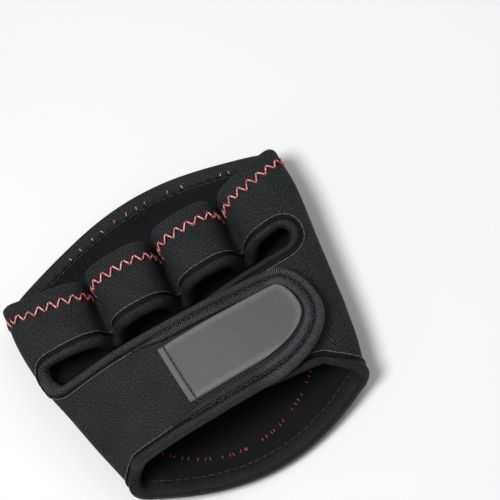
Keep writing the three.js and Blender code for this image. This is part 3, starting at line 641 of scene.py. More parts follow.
def tape_route():
    """The tape's route: panel, s and y of each stretch, then points, stretches, s, y and run of it all."""
    def dense(a, b, count=1600):
        return np.linspace(a, b, count)

    tip_front, tip_rear = float(tab_tip(0)), float(tab_tip(1))
    side = (1 - np.cos(np.pi * dense(0, 1))) / 2
    front_y, rear_y = float(strap_front(tip_front)), float(strap_rear(tip_rear))
    runs = []
    for panel, s, edge in (
        (flap, dense(flap.end, flap.start), flap_front),
        (strip, dense(strip.end, strip.start, 4000), strip_rear),
        (strap, dense(strap.start, tip_front), strap_front),
        (strap, None, None),
        (strap, dense(tip_rear, strap.start), strap_rear),
        (palm, dense(palm.start, palm.end, 4000), heel_edge),
        (flap, dense(flap.start, flap.end), flap_rear),
    ):
        if s is None:
            runs.append((panel, tab_tip(side), front_y + (rear_y - front_y) * side))
        else:
            runs.append((panel, s, edge(s)))
    points = np.concatenate([panel.bare(s, y) for panel, s, y in runs])
    whose = np.concatenate([np.full(len(s), k) for k, (_, s, _) in enumerate(runs)])
    s, y = np.concatenate([r[1] for r in runs]), np.concatenate([r[2] for r in runs])
    return runs, points, whose, s, y, run_along(points)


class Tape:
    """The elastic tape: its route at even steps, and the places beside it on the cloth."""

    HEADING = 2.4              # its direction is taken over this much to either side

    def __init__(self, step):
        runs, points, whose, s, y, run = tape_route()
        self.length = float(run[-1])
        count = int(self.length / step)
        self.run = np.linspace(0, self.length, count + 1)
        at = np.clip(np.searchsorted(run, self.run), 1, len(run) - 1)
        t = (self.run - run[at - 1]) / np.maximum(run[at] - run[at - 1], 1e-9)
        same = whose[at] == whose[at - 1]
        self.whose = whose[at]
        self.panels = [r[0] for r in runs]
        self.s = np.where(same, s[at - 1] + (s[at] - s[at - 1]) * t, s[at])
        self.y = np.where(same, y[at - 1] + (y[at] - y[at - 1]) * t, y[at])
        ahead = np.stack([np.interp(self.run + self.HEADING, run, points[:, k]) for k in range(3)], 1)
        behind = np.stack([np.interp(self.run - self.HEADING, run, points[:, k]) for k in range(3)], 1)
        self.tangent = unit(ahead - behind)
        self.starts = [float(run[whose == k][0]) for k in range(len(runs))]
        self.inward = unit(
            self.each(lambda panel, s, y, pick: np.cross(self.tangent[pick], panel.frame(s, y)[2])))

    def each(self, sums):
        """Results for every place of the route, found panel by panel."""
        found = None
        for k, panel in enumerate(self.panels):
            pick = np.flatnonzero(self.whose == k)
            if len(pick) == 0:
                continue
            part = sums(panel, self.s[pick], self.y[pick], pick)
            if found is None:
                found = np.zeros((len(self.run),) + part.shape[1:])
            found[pick] = part
        return found

    def beside(self, distance, height):
        """Points at a distance in from the edge and a height off the wall's middle."""
        distance = np.broadcast_to(np.asarray(distance, float), self.run.shape)
        height = np.broadcast_to(np.asarray(height, float), self.run.shape)

        def sums(panel, s, y, pick):
            on = np.maximum(distance[pick], 0)
            ws, wy = panel.walk(s, y, self.inward[pick], on)
            point = panel.bare(ws, wy) + panel.frame(ws, wy)[2] * height[pick][:, None]
            return point + self.inward[pick] * np.minimum(distance[pick], 0)[:, None]

        return self.each(sums)

    def path(self, low, high, distance, height, outside=1):
        """A path beside the edge between two places of the run, with its directions."""
        pick = (self.run > low) & (self.run < high)
        normal = self.each(lambda panel, s, y, which: panel.frame(s, y)[2])[pick] * outside
        return self.beside(distance, height * outside)[pick], np.cross(self.tangent[pick], normal), normal

    def wide_zone(self):
        """The run of the tape round the tab, where its outer leaf is wide."""
        on_strap = (self.whose >= STRAP_EDGE) & (self.whose <= STRAP_REAR_EDGE)
        tab = on_strap & (self.beside(0, 0)[:, 0] > TAB_START)
        return self.run[tab][0], self.run[tab][-1]

    def share(self, low, high, ease=5.0):
        """1 between two places of the run and 0 outside them, with a smooth change."""
        return between(self.run, low, high, ease)


def leaf_height(distance, reach, wide, pressed):
    """Height of the outer leaf's top off the wall's middle, for distances in from the edge."""
    low = NEOPRENE / 2 + 0.28
    seam = SEAM - 0.9 * pressed
    full = 1 - np.clip(distance / seam, 0, 1) ** (3.6 - 1.0 * wide)
    roll = low + (TAPE_CREST - low) * full
    past = np.clip((distance - SEAM) / np.maximum(reach - SEAM, 0.1), 0, 1)
    crest = 0.25 + 1.05 * wide
    lip = low + 0.02 + crest * np.clip(np.sin(np.pi * np.clip(past * 0.95, 0, 1)), 0, 1) ** 0.7
    return np.where(distance <= SEAM, roll, lip)


# The tape's grid lines, across it: shares of its outer leaf beyond the seam and before it, angles round its
# back, and shares of its inner leaf
BEYOND_SEAM = (1.0, 0.96, 0.86, 0.6, 0.3, 0.1)
BEFORE_SEAM = (1.0, 0.95, 0.85, 0.72, 0.58, 0.43, 0.28, 0.12)
BACK_ANGLES = (28, 58, 90, 122, 152)
INNER_LEAF = (0.10, 0.35, 0.65, 0.88, 0.97, 1.0)


def build_binding(config):
    """The folded tape with its ribs, as one closed ring of grid lines along its route."""
    pitch = config.rib_pitch / MM
    tape = Tape(pitch / config.rib_steps)
    starts, count = tape.starts, len(tape.run)
    wide = tape.share(*tape.wide_zone(), 5.0)
    wrist = tape.share(starts[HEEL_EDGE] - 4, starts[FLAP_REAR_EDGE] + 60, 4.0)
    loops = tape.share(starts[LOOPS_EDGE] + 16, starts[STRAP_EDGE] - 16, 5.0)
    pressed = tape.share(-20, starts[STRAP_EDGE] + 2, 2.0)
    pressed += tape.share(starts[HEEL_EDGE] - 1, tape.length + 20, 2.0)
    reach = TAPE_REACH + (TAPE_WIDE - TAPE_REACH) * wide
    within = TAPE_WIDTH + (TAPE_INNER - TAPE_WIDTH) * wrist
    phase = TAU * tape.run / pitch + 0.6 * np.sin(tape.run / 7.3)
    rib = config.rib_depth / MM * np.cos(phase)
    columns, places, fullness = [], [], []

    def line(distance, height, place):
        columns.append(tape.beside(distance, height))
        places.append(np.broadcast_to(place, tape.run.shape))

    low = NEOPRENE / 2 + 0.16
    outer = [(SEAM + (reach - SEAM) * share, float(share < 1)) for share in BEYOND_SEAM]
    outer += [(np.full(count, SEAM * share), 1.0) for share in BEFORE_SEAM]
    for distance, ribbed in outer:
        height = leaf_height(distance, reach, wide, pressed)
        line(distance, low + (height - low) * (0.35 + 0.65 * ribbed) + rib * ribbed, distance)
        fullness.append(np.clip((height - low) / (TAPE_CREST - low), 0, 1) * (0.3 + 0.7 * ribbed))
    for angle in np.radians(BACK_ANGLES):
        back = 0.2 - (TAPE_BACK + 0.2 + LOOP_ROLL * loops) * math.sin(angle)
        line(back, (TAPE_CREST - 0.1 + rib) * math.cos(angle), back - 2 * angle)
    low = NEOPRENE / 2 + 0.25
    for share in INNER_LEAF:
        height = low + (TAPE_CREST - low) * (1 - share**3.2)
        line(within * share, -height - rib * float(share < 1), -6 - within * share)
    outside = len(columns)
    inside = NEOPRENE / 2 + TAPE_CLEAR
    for distance, height in (
        (within * 0.99, -inside), (within * 0.5, -inside), (0.3, -inside), (-0.35, 0.0), (0.3, inside),
        (reach * 0.5, inside), (reach * 0.68, inside), (reach * 0.99, inside + 0.02 * wide),
    ):
        line(distance, height, -6 - distance)
    grid = np.stack(columns, 1)
    ring = grid.shape[1]
    faces = ring_faces(count, ring) + tape_caps(count, ring, outside)
    placed = np.stack([np.broadcast_to(tape.run[:, None], grid.shape[:2]), np.stack(places, 1)], -1)
    fullness += [np.ones(count)] * (ring - len(fullness))
    # The rib mark is painted light: highlight on the ribs' crests, shade in their grooves and where the tape
    # lies low
    ribs = (0.5 + 0.5 * np.cos(phase))[:, None] * (0.06 + 0.94 * np.stack(fullness, 1) ** 1.8)
    wear_and_light = np.repeat(tape_wear_and_light(tape, grid[:, 0, 0])[:, None], ring, 1)
    return mesh_object("edge_tape", grid, outward(grid, faces), placed, {"rib": ribs, "wear_and_painted_light": wear_and_light}), tape


def tape_wear_and_light(tape, across):
    """How pale the tape is at each place of its route, for its places across the hand: painted shade darkens
    the strap's rear edge towards its left end, and painted light brightens the loops' edge towards its ends.
    """
    wear_and_light = WEAR_AND_LIGHT[tape.whose]
    wear_and_light *= np.where(tape.whose == STRAP_REAR_EDGE, np.interp(across, (-45, -5), (0.55, 1)), 1)
    wear_and_light *= np.where(tape.whose == LOOPS_EDGE, np.interp(np.abs(across), (25, 45), (1, 2)), 1)
    eased = 20                 # steps to either side over which it changes
    return np.convolve(np.pad(wear_and_light, eased, mode="edge"), np.ones(2 * eased + 1) / (2 * eased + 1), "valid")


def tape_caps(rows, ring, outside):
    """End faces of the folded tape: a strip of triangles between its outside and its slot."""
    inside = list(range(ring - 1, outside - 1, -1))
    last_out, last_in = outside - 1, len(inside) - 1
    faces = []
    i = j = 0
    while i < last_out or j < last_in:
        if j == last_in or (i < last_out and i / last_out <= j / last_in):
            faces.append([i, i + 1, inside[j]])
            i += 1
        else:
            faces.append([i, inside[j + 1], inside[j]])
            j += 1
    end = (rows - 1) * ring
    return [face[::-1] for face in faces] + [[end + k for k in face] for face in faces]


# Patches

def layer(name, panel, low, high, rows, columns, thickness, relief, floor=None):
    """A thin piece that lies on a panel. rows are y and the ends of each row in x, relief its mm."""
    bottom = NEOPRENE / 2 + LYING
    y = np.repeat(rows[:, :1], columns + 1, 1)
    across = 0.25 * close_at_ends(columns + 1) + 0.75 * np.linspace(0, 1, columns + 1)
    x = rows[:, 1:2] + (rows[:, 2:3] - rows[:, 1:2]) * across
    s = panel.place_at_x(x, y, low, high)
    sides = np.minimum(np.abs(x - rows[:, 1:2]), np.abs(rows[:, 2:3] - x))
    ends = np.minimum(np.abs(rows[:, :1] - rows[0, 0]), np.abs(rows[-1, 0] - rows[:, :1]))
    rim = np.minimum(sides, ends)
    full = np.maximum(rounding(rim, 0.8), 0.25)
    under = panel.at(s, y, np.full(y.shape, bottom))
    top = panel.at(s, y, bottom + thickness * full)
    if floor is not None:
        top[..., 2] = np.maximum(top[..., 2], floor)
    top += panel.frame(s, y)[2] * relief(x, y)[..., None]
    return wall(name, top, under, np.stack([x, y], -1), {"rim": (rim, rim)})


def grip_outline(count):
    """The outline of the patch under the palm: y and half width at even steps of its length."""
    place = np.linspace(0, len(GRIP_OUTLINE) - 1, 400)
    dense = spline(GRIP_OUTLINE, place)
    run = run_along(dense)
    at = np.interp(np.linspace(0, run[-1], count), run, place)
    return spline(GRIP_OUTLINE, at)


def build_grip_patch():
    """The patch under the palm, and its rows."""
    outline = grip_outline(130)
    rows = np.stack([outline[:, 0], -outline[:, 1], outline[:, 1]], 1)

    def seams(x, y):
        """Grooves along the lines that sew the loops down."""
        along = 1 / (1 + np.exp((y - PALM_SEAM[0]) / 0.4)) / (1 + np.exp((PALM_SEAM[1] - y) / 0.4))
        return -0.32 * along * sum(bell(x - line, 0.55) for line in PINCHES)

    return layer("palm_grip_cloth", palm, LEFT_FOLD, RIGHT_FOLD, rows, 170, GRIP, seams, 0.15), rows


def tab_patch_rows(inset, count):
    """Rows of the grey patch, at a distance in from the tab's edges."""
    front = float(strap_front(strap.end)) - inset + 1.6
    rear = STRAP_REAR + inset
    side = close_at_ends(count)
    forward = np.where(side < TAB_TIP_SIDE, side / TAB_TIP_SIDE, (1 - side) / (1 - TAB_TIP_SIDE))
    bow = np.where(side < TAB_TIP_SIDE, TAB_FRONT_BOW, TAB_REAR_BOW) - inset + 1
    far = TAB_REACH - inset - bow * (1 - np.sqrt(np.clip(1 - (1 - forward) ** 2, 0, 1)))
    return np.stack([front + (rear - front) * side, -10 + 2 * side, far], 1)


def build_tab_patch():
    """The grey patch on the tab, and its rows."""
    rows = tab_patch_rows(TAB_INSET, 90)
    start = rows[:, 1:2]

    def fold(x, y):
        """A raised fold at the patch's straight end, and the groove of its seam."""
        return 0.3 * bell(x - start - 0.7, 0.5) - 0.3 * bell(x - start - TAB_SEAM, 0.45)

    return layer("tab_cover", strap, strap.start, strap.end, rows, 190, TAB_PATCH, fold), rows


# Node trees

def operation(kind, turned=False):
    """An arithmetic operator of a signal."""
    def work(self, other):
        return self.nodes.maths(kind, other, self) if turned else self.nodes.maths(kind, self, other)
    return work


class Signal:
    """A number that varies over a surface or along a thread: a node's socket with arithmetic."""

    __add__ = __radd__ = operation("ADD")
    __mul__ = __rmul__ = operation("MULTIPLY")
    __sub__ = operation("SUBTRACT")
    __rsub__ = operation("SUBTRACT", True)
    __truediv__ = operation("DIVIDE")
    __pow__ = operation("POWER")

    def __init__(self, nodes, socket):
        self.nodes, self.socket = nodes, socket

    def sine(self):
        return self.nodes.maths("SINE", self)

    def wave(self, length):
        """A wave between 0 and 1 that repeats after a length."""
        return (self * (TAU / length)).sine() * 0.5 + 0.5

    def ramp(self, low, high):
        """0 up to low and 1 from high."""
        share = (self - low) / (high - low)
        return self.nodes.maths("MINIMUM", self.nodes.maths("MAXIMUM", share, 0.0), 1.0)


class Nodes:
    """A node tree being drawn up. What a socket is given is a constant, another socket or a signal."""

    def __init__(self, tree):
        self.tree = tree

    def node(self, kind, settings=None, sockets=None):
        node = self.tree.nodes.new(kind)
        for key, value in (settings or {}).items():
            setattr(node, key, value)
        for key, value in (sockets or {}).items():
            self.plug(node.inputs[key], value)
        return node

    def plug(self, socket, value):
        value = value.socket if isinstance(value, Signal) else value
        if isinstance(value, bpy.types.NodeSocket):
            self.tree.links.new(value, socket)
        else:
            socket.default_value = value

    def maths(self, kind, *values):
        node = self.node("ShaderNodeMath", {"operation": kind}, dict(enumerate(values)))
        return Signal(self, node.outputs[0])

    def vector(self, kind, sockets):
        return self.node("ShaderNodeVectorMath", {"operation": kind}, sockets).outputs[0]


# Stitches: a path on the cloth, worked into thread by geometry nodes

STITCH_INPUTS = (
    # name, kind of socket, value
    ("Geometry", "Geometry", None), ("Stitch", "Float", 0.003), ("Swing", "Float", 0.0),
    ("Thread", "Float", 0.0004), ("Rise", "Float", 0.0003), ("Dip", "Float", 0.0004), ("Show", "Float", 0.86),
    ("Wander", "Float", 0.0001), ("Sides", "Int", 8), ("Seed", "Int", 1), ("Material", "Material", None),
)
PLAIN_INPUTS = ("Show", "Seed", "Sides")     # those that aren't lengths


def stitch_group():
    """Runs thread over and under the cloth along a path with 'side' and 'lift' directions at its points."""
    nodes = Nodes(bpy.data.node_groups.new("Stitches", "GeometryNodeTree"))
    interface = nodes.tree.interface
    for label, kind, value in STITCH_INPUTS:
        socket = interface.new_socket(label, in_out="INPUT", socket_type="NodeSocket" + kind)
        if value is not None:
            socket.default_value = value
    interface.new_socket("Geometry", in_out="OUTPUT", socket_type="NodeSocketGeometry")
    source = {socket.name: Signal(nodes, socket) for socket in nodes.node("NodeGroupInput").outputs}
    curve = nodes.node("GeometryNodeMeshToCurve", sockets={"Mesh": source["Geometry"]}).outputs[0]
    step = source["Stitch"] / float(STITCH_STEPS)
    sampled = nodes.node("GeometryNodeResampleCurve", {"mode": "LENGTH"}, {"Curve": curve, "Length": step})
    run = Signal(nodes, nodes.node("GeometryNodeSplineParameter").outputs["Length"]) / source["Stitch"]
    count, part = nodes.maths("FLOOR", run), nodes.maths("FRACT", run)
    # From one side to the other over each stitch
    swing = (1.0 - nodes.maths("MODULO", count, 2.0) * 2.0) * (part - 0.5) * source["Swing"]

    def loose(identity):
        """An uneven number between -1 and 1 for each whole number."""
        seeds = {"ID": identity, "Seed": source["Seed"]}
        node = nodes.node("FunctionNodeRandomValue", {"data_type": "FLOAT"}, seeds)
        for plug in node.inputs:
            if plug.type == "VALUE" and plug.name in ("Min", "Max"):
                plug.default_value = -1.0 if plug.name == "Min" else 1.0
        return Signal(nodes, next(plug for plug in node.outputs if plug.type == "VALUE"))

    here, there = loose(count), loose(count + 1.0)
    eased = part * part * 3.0 - part ** 3.0 * 2.0
    swing = swing + (here + eased * (there - here)) * source["Wander"]
    # The thread dives into the cloth at both ends of the part that shows
    beyond = nodes.maths("ABSOLUTE", part * 2.0 - 1.0) / source["Show"]
    arch = nodes.maths("MAXIMUM", 1.0 - beyond ** 4.0, -1.0)
    up = nodes.maths("MAXIMUM", arch * source["Rise"], 0.0)
    lift = up + nodes.maths("MINIMUM", arch, 0.0) * source["Dip"]

    def along(name, distance):
        """A distance along a direction that is stored at the path's points."""
        stored = nodes.node("GeometryNodeInputNamedAttribute", {"data_type": "FLOAT_VECTOR"}, {"Name": name})
        direction = nodes.vector("NORMALIZE", {0: stored.outputs[0]})
        return nodes.vector("SCALE", {0: direction, "Scale": distance})

    offset = nodes.vector("ADD", {0: along("side", swing), 1: along("lift", lift)})
    moves = {"Geometry": sampled.outputs[0], "Offset": offset}
    placed = nodes.node("GeometryNodeSetPosition", sockets=moves).outputs[0]
    caught = nodes.node("GeometryNodeStoreNamedAttribute", {"data_type": "FLOAT", "domain": "POINT"},
                        {"Geometry": placed, "Name": "run", "Value": run}).outputs[0]
    ring = nodes.node("GeometryNodeCurvePrimitiveCircle",
                      sockets={"Resolution": source["Sides"], "Radius": source["Thread"] * 0.5}).outputs[0]
    thread = nodes.node("GeometryNodeCurveToMesh",
                        sockets={"Curve": caught, "Profile Curve": ring, "Fill Caps": True}).outputs[0]
    shaded = nodes.node("GeometryNodeSetShadeSmooth", sockets={"Geometry": thread}).outputs[0]
    realized = nodes.node("GeometryNodeRealizeInstances", sockets={"Geometry": shaded}).outputs[0]
    done = nodes.node("GeometryNodeSetMaterial",
                      sockets={"Geometry": realized, "Material": source["Material"]}).outputs[0]
    nodes.node("NodeGroupOutput", sockets={"Geometry": done})
    return nodes.tree


def path_object(name, paths):
    """Seams as open lines: each is points, sideways directions and upward directions, in the drawing's mm."""
    points, sides, lifts = (np.concatenate(rows) for rows in zip(*paths))
    starts = np.cumsum([0] + [len(path[0]) for path in paths])
    edges = [(k, k + 1) for low, high in zip(starts, starts[1:]) for k in range(low, high - 1)]
    mesh = bpy.data.meshes.new(name)
    mesh.from_pydata(((points + cloth_drift(points) + ORIGIN) * MM).tolist(), edges, [])
    for key, values in (("side", sides), ("lift", lifts)):
        mesh.attributes.new(key, "FLOAT_VECTOR", "POINT").data.foreach_set("vector", values.ravel())
    return new_object(name, mesh)


def sew(name, paths, material, slot, values, floor=False):
    """Thread along paths, as a finished piece. values are inputs of the stitch group, in millimetres."""
    obj = path_object(name, paths)
    modifier = obj.modifiers.new("Stitches", "NODES")
    modifier.node_group = bpy.data.node_groups.get("Stitches") or stitch_group()
    for item in modifier.node_group.interface.items_tree:
        if item.in_out == "INPUT" and item.name == "Material":
            modifier[item.identifier] = material
        elif item.in_out == "INPUT" and item.name in values:
            modifier[item.identifier] = values[item.name] * (1 if item.name in PLAIN_INPUTS else MM)
    bpy.context.view_layer.update()
    mesh = bpy.data.meshes.new_from_object(obj.evaluated_get(bpy.context.evaluated_depsgraph_get()))
    obj.modifiers.remove(modifier)
    old, obj.data = obj.data, mesh
    bpy.data.meshes.remove(old)
    mesh.name = name
    if floor:
        for vertex in mesh.vertices:
            vertex.co.z = max(vertex.co.z, FLOOR_GAP)
    return dress(obj, material, slot)


def on_panel(panel, s, y, height, outside=1):
    """A path over a panel, with its directions."""
    normal = panel.frame(s, y)[2] * outside
    base = panel.bare(s, y) + normal * height
    return base, np.cross(unit(np.gradient(base, axis=0)), normal), normal


def ticks(path, step, share, long, seed):
    """Short paths across a path, at a share of its uneven steps: where thread comes through the cloth."""
    at, side, lift = path
    run = run_along(at)
    random = np.random.default_rng(seed)
    found = []
    for place in np.arange(step, run[-1] - step, step):
        here = min(int(np.searchsorted(run, place + random.uniform(-0.25, 0.25) * step)), len(at) - 1)
        heading = side[here] + np.cross(side[here], lift[here]) * random.uniform(-0.5, 0.5)
        if random.uniform() < share:
            line = at[here] + heading * np.linspace(-0.5, 0.5, 5)[:, None] * long * random.uniform(0.8, 1)
            found.append((line, np.tile(np.cross(heading, lift[here]), (5, 1)), np.tile(lift[here], (5, 1))))
    return found


def hem_path(panel, front, low, high, distance, height, outside=1):
    """A path along a hem between two places. distance is how far it lies behind the front edge."""
    s = np.linspace(low, high, 500)
    return on_panel(panel, s, front(s) - (distance(s) if callable(distance) else distance), height, outside)


def palm_hem_path(distance, height, outside=1):
    return hem_path(palm, palm_front, palm.start + 0.05, palm.end - 0.05, distance, height, outside)


# Materials

class Shade(Nodes):
    """A material being drawn up, with sizes in millimetres."""

    def __init__(self, name):
        self.material = bpy.data.materials.new(name)
        self.material.use_nodes = True
        super().__init__(self.material.node_tree)
        self.tree.nodes.clear()
        self.principled = self.node("ShaderNodeBsdfPrincipled")
        self.node("ShaderNodeOutputMaterial", sockets={"Surface": self.principled.outputs[0]})

    def cloth(self):
        """Place on the cloth in mm: along its first and second direction."""
        return self.split(self.node("ShaderNodeUVMap", {"uv_map": "Cloth"}).outputs[0])

    def split(self, vector):
        """A vector's first and second number."""
        outputs = self.node("ShaderNodeSeparateXYZ", sockets={0: vector}).outputs
        return Signal(self, outputs[0]), Signal(self, outputs[1])

    def place(self):
        """Place in space in mm."""
        return self.vector("SCALE", {0: self.node("ShaderNodeTexCoord").outputs["Object"], "Scale": 1 / MM})

    def mark(self, name):
        return Signal(self, self.node("ShaderNodeAttribute", {"attribute_name": name}).outputs["Fac"])

    def noise(self, size, detail=2.0, where=None, roughness=0.5):
        """Noise about 0.5 with features of a size in mm."""
        node = self.node("ShaderNodeTexNoise", sockets={
            "Vector": where or self.place(), "Scale": 1.0 / size, "Detail": detail, "Roughness": roughness})
        return Signal(self, node.outputs[0])

    def at(self, *values):
        return self.node("ShaderNodeCombineXYZ", sockets=dict(enumerate(values))).outputs[0]

    def mix(self, share, low, high):
        node = self.node("ShaderNodeMix", {"data_type": "RGBA", "clamp_factor": True})
        self.plug(node.inputs[0], share)
        self.plug(node.inputs[6], (*low, 1.0))
        self.plug(node.inputs[7], (*high, 1.0))
        return node.outputs[2]

    def finish(self, colour, roughness, height, depth, sheen=0.0, gloss=0.16):
        """Colour and roughness, a height signal that is depth mm deep, and a cloth's sheen."""
        bump = self.node("ShaderNodeBump", sockets={"Height": height, "Distance": depth * MM})
        for key, value in {
            "Base Color": colour, "Roughness": roughness, "Normal": bump.outputs[0],
            "Specular IOR Level": gloss, "Sheen Weight": sheen, "Sheen Roughness": 0.4,
            "Sheen Tint": (0.75, 0.85, 0.9, 1.0),
        }.items():
            self.plug(self.principled.inputs[key], value)
        return self.material


def neoprene_material():
    """Black jersey over neoprene: a fine slanting knit, ribs across the turned hem, lint and rubbed places,
    and painted shade over its inner face.
    """
    shade = Shade("neoprene_jersey")
    u, v = shade.cloth()
    wobble = shade.noise(3.0) * 1.1
    knit = (u * 0.97 + v * 0.24 + wobble).wave(0.60)
    course = (v * 0.86 - u * 0.5 + wobble).wave(0.74)
    ribs = (u + wobble * 0.4).wave(0.66)
    hem = 1.0 - v.ramp(4.6, 5.6)
    weave = knit * 0.65 + course * 0.35
    weave = weave + (ribs - weave) * hem * 0.8
    slant = shade.at(u * 1.9 + v * 0.5, v * 1.1 - u * 0.3, 0.0)
    grain = shade.noise(0.47, 2.0, slant, 0.8)
    lint = shade.noise(0.5, 1.0).ramp(0.68, 0.78)
    cloud = shade.noise(14.0, 3.0)
    share = weave * 1.3 + (grain - 0.5) * 8.5 + (cloud - 0.5) * 0.6 + lint * 0.9 - 0.42
    # Painted shade: the inner face is darkened where the inside mark is set
    share = share * (1.0 - shade.mark("inside") * 0.88)
    colour = shade.mix(share, (0.0012, 0.0014, 0.0017), (0.044, 0.048, 0.052))
    roughness = 0.78 + (grain - 0.5) * 0.2
    return shade.finish(colour, roughness, weave * 0.7 + grain * 0.2, 0.10, 0.02)


def tape_material():
    """Black elastic tape: ribs across it, fine ends along it. Its ribs' crests carry a painted highlight and
    their grooves a painted shade, and each stretch is paler where rubbed or darker under painted shade.
    """
    shade = Shade("ribbed_tape")
    u, v = shade.cloth()
    rib = shade.mark("rib")
    ends = (v + shade.noise(2.0) * 0.3).wave(0.34)
    grain = shade.noise(0.5, 2.0, roughness=0.7)
    cloud = shade.noise(9.0, 3.0)
    # Painted highlight on the ribs' crests and painted shade in their grooves
    share = (rib ** 1.2) * (ends * 0.35 + 0.65) * ((grain - 0.5) * 3.2 + 0.95) + (cloud - 0.5) * 0.35
    # The tape is paler where rubbed, darker under painted shade and brighter under painted light
    share = (share * 1.15 - 0.08) * shade.mark("wear_and_painted_light")
    colour = shade.mix(share, (0.0015, 0.0017, 0.0022), (0.085, 0.090, 0.098))
    return shade.finish(colour, 0.62 + (grain - 0.5) * 0.2, ends * 0.3 + grain * 0.6, 0.07, 0.02)


def grip_material():
    """Rubberised cloth under the palm: grey, with close slanting ribs and a fine weave."""
    shade = Shade("rubberised_weave")
    u, v = shade.cloth()
    wobble = shade.noise(6.0) * 0.5
    twill = (u * 0.8 + v * 0.6 + wobble).wave(0.95)
    thread = (v * 0.8 - u * 0.6 + wobble).wave(0.8)
    grain = shade.noise(0.4, 2.0)
    cloud = shade.noise(20.0, 4.0)
    rim = 1.0 - shade.mark("rim").ramp(0.0, 1.0)
    share = twill * 0.45 + thread * 0.25 + grain * 0.3 + (cloud - 0.5) * 0.5 - rim * 0.3
    colour = shade.mix(share, (0.028, 0.032, 0.032), (0.115, 0.126, 0.126))
    return shade.finish(colour, 0.52 + (cloud - 0.5) * 0.3, twill * 0.7 + thread * 0.5, 0.10)


def tab_material():
    """Smooth grey coated cloth on the tab, rubbed paler along its rim."""
    shade = Shade("grey_coated_cloth")
    u, v = shade.cloth()
    grain = shade.noise(0.25, 3.0)
    fibre = shade.noise(1.0, 2.0, shade.at(u * 0.35, v * 2.2, 0.0))
    cloud = shade.noise(11.0, 4.0, roughness=0.6)
    rim = 1.0 - (shade.mark("rim") + (shade.noise(1.6, 3.0) - 0.5) * 1.6).ramp(1.3, 2.6)
    share = 0.45 + (cloud - 0.5) * 0.5 + (grain - 0.5) * 0.35 + (fibre - 0.5) * 0.25
    share = share + rim * (grain * 0.9 + 0.1)
    colour = shade.mix(share * 0.8, (0.065, 0.067, 0.069), (0.150, 0.153, 0.156))
    return shade.finish(colour, 0.55 + (cloud - 0.5) * 0.3, grain * 0.6 + fibre * 0.4, 0.05, 0.02)


def hook_material():
    """Hook and loop tape: rows of tiny hooks."""
    shade = Shade("hook_rows")
    x, y = shade.split(shade.place())
    rows = (x * (TAU / 1.3)).sine() * (y * (TAU / 0.9)).sine()
    grain = shade.noise(0.4)
    colour = shade.mix(rows * 0.4 + grain * 0.5, (0.004, 0.004, 0.004), (0.03, 0.03, 0.03))
    return shade.finish(colour, 0.9 + (grain - 0.5) * 0.1, rows * 0.5 + grain, 0.2)


def thread_material(name, dark, pale, wear_and_light):
    """Sewing thread: two plies twisted together, with fuzz. Its colour runs from a painted shade to a painted
    highlight, in bands along the twist and in random patches.
    """
    shade = Shade(name)
    ply = shade.mark("run").wave(1 / 3)
    fuzz = shade.noise(0.25, 2.0)
    cloud = shade.noise(0.8, 1.0)
    # The last argument sets how strongly patches of painted highlight and painted shade show
    share = ply * 0.4 + fuzz * 0.4 + (cloud - 0.5) * wear_and_light + 0.2
    colour = shade.mix(share, dark, pale)
    return shade.finish(colour, 0.42 + (fuzz - 0.5) * 0.2, ply * 0.8 + fuzz * 0.3, 0.05, 0.1, 0.5)


def floor_material():
    shade = Shade("pale_floor")
    cloud = shade.noise(160.0, 2.0)
    colour = shade.mix(cloud, (0.86, 0.86, 0.86), (0.89, 0.89, 0.89))
    return shade.finish(colour, 0.7 + (cloud - 0.5) * 0.05, cloud, 0.01)


# The add-on: settings, one operator for each group of pieces, and the stage

class GripPadSettings(bpy.types.PropertyGroup):
    cloth_step: FloatProperty(
        name="Cloth step", description="Distance between the neoprene's grid lines", default=0.0009,
        unit="LENGTH")
    rib_pitch: FloatProperty(
        name="Rib pitch", description="Distance between the tape's ribs", default=0.00072, unit="LENGTH")
    rib_depth: FloatProperty(
        name="Rib depth", description="Half the height of the tape's ribs", default=0.00008, unit="LENGTH")
    rib_steps: IntProperty(name="Rib steps", description="Grid lines for each rib of the tape", default=4)
    thread: FloatProperty(
        name="Thread", description="Thickness of the sewing thread", default=0.00038, unit="LENGTH")
    # The thread's two reds are painted: the dark one is its shade, the pale one its highlight
    red_shade: FloatVectorProperty(
        name="Red, in shade", description="Darkest red of the thread", default=(0.42, 0.022, 0.022),
        subtype="COLOR")
    red_highlight: FloatVectorProperty(
        name="Red, highlight", description="Palest red of the thread", default=(1.0, 0.50, 0.46),
        subtype="COLOR")
    lens: FloatProperty(name="Lens", description="Focal length of the camera in mm", default=120.0)
    seed: IntProperty(name="Seed", description="Seed of the stitches' unevenness", default=7)


def dress(obj, material, slot, *nodes):
    """Give a finished piece its material and its body, and hide the CAD nodes that it stands for. The slot is
    not used.
    """
    if len(obj.data.materials) == 0:
        obj.data.materials.append(material)
    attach(obj, "root")
    if nodes:
        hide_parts(*nodes)
    return obj


def declare_sheet(sheet):
    """Work out the panel's middle surface, which is not used further."""
    points = sheet.panel.bare(sheet.s, sheet.y)


class GRIP_PAD_OT_neoprene(bpy.types.Operator):
    """Make the four neoprene panels: palm, finger strip, strap and underlap"""
    bl_idname = "grip_pad.neoprene"
    bl_label = "Neoprene panels"

    def execute(self, context):
        step = context.scene.grip_pad.cloth_step / MM
        material = neoprene_material()
        for name, node, panel, front, rear, tip, hem, sewn_on, held in (
            ("palm_shell", "palm_panel", palm, palm_front, heel_edge, None, True, True, "folded"),
            ("finger_loops", "finger_strip", strip, strip_front, strip_rear, None, True, True, "gathered"),
            ("back_strap", "wrist_strap", strap, strap_front, strap_rear, tab_tip, False, False, "laid"),
            ("strap_underlap", "closure_underlap", flap, flap_front, flap_rear, None, False, False, "folded"),
        ):
            sheet = Sheet(panel, front, rear, step, tip)
            obj = dress(build_sheet(name, sheet, hem, sewn_on), material, "neoprene", node)
            declare_sheet(sheet)
        return {"FINISHED"}


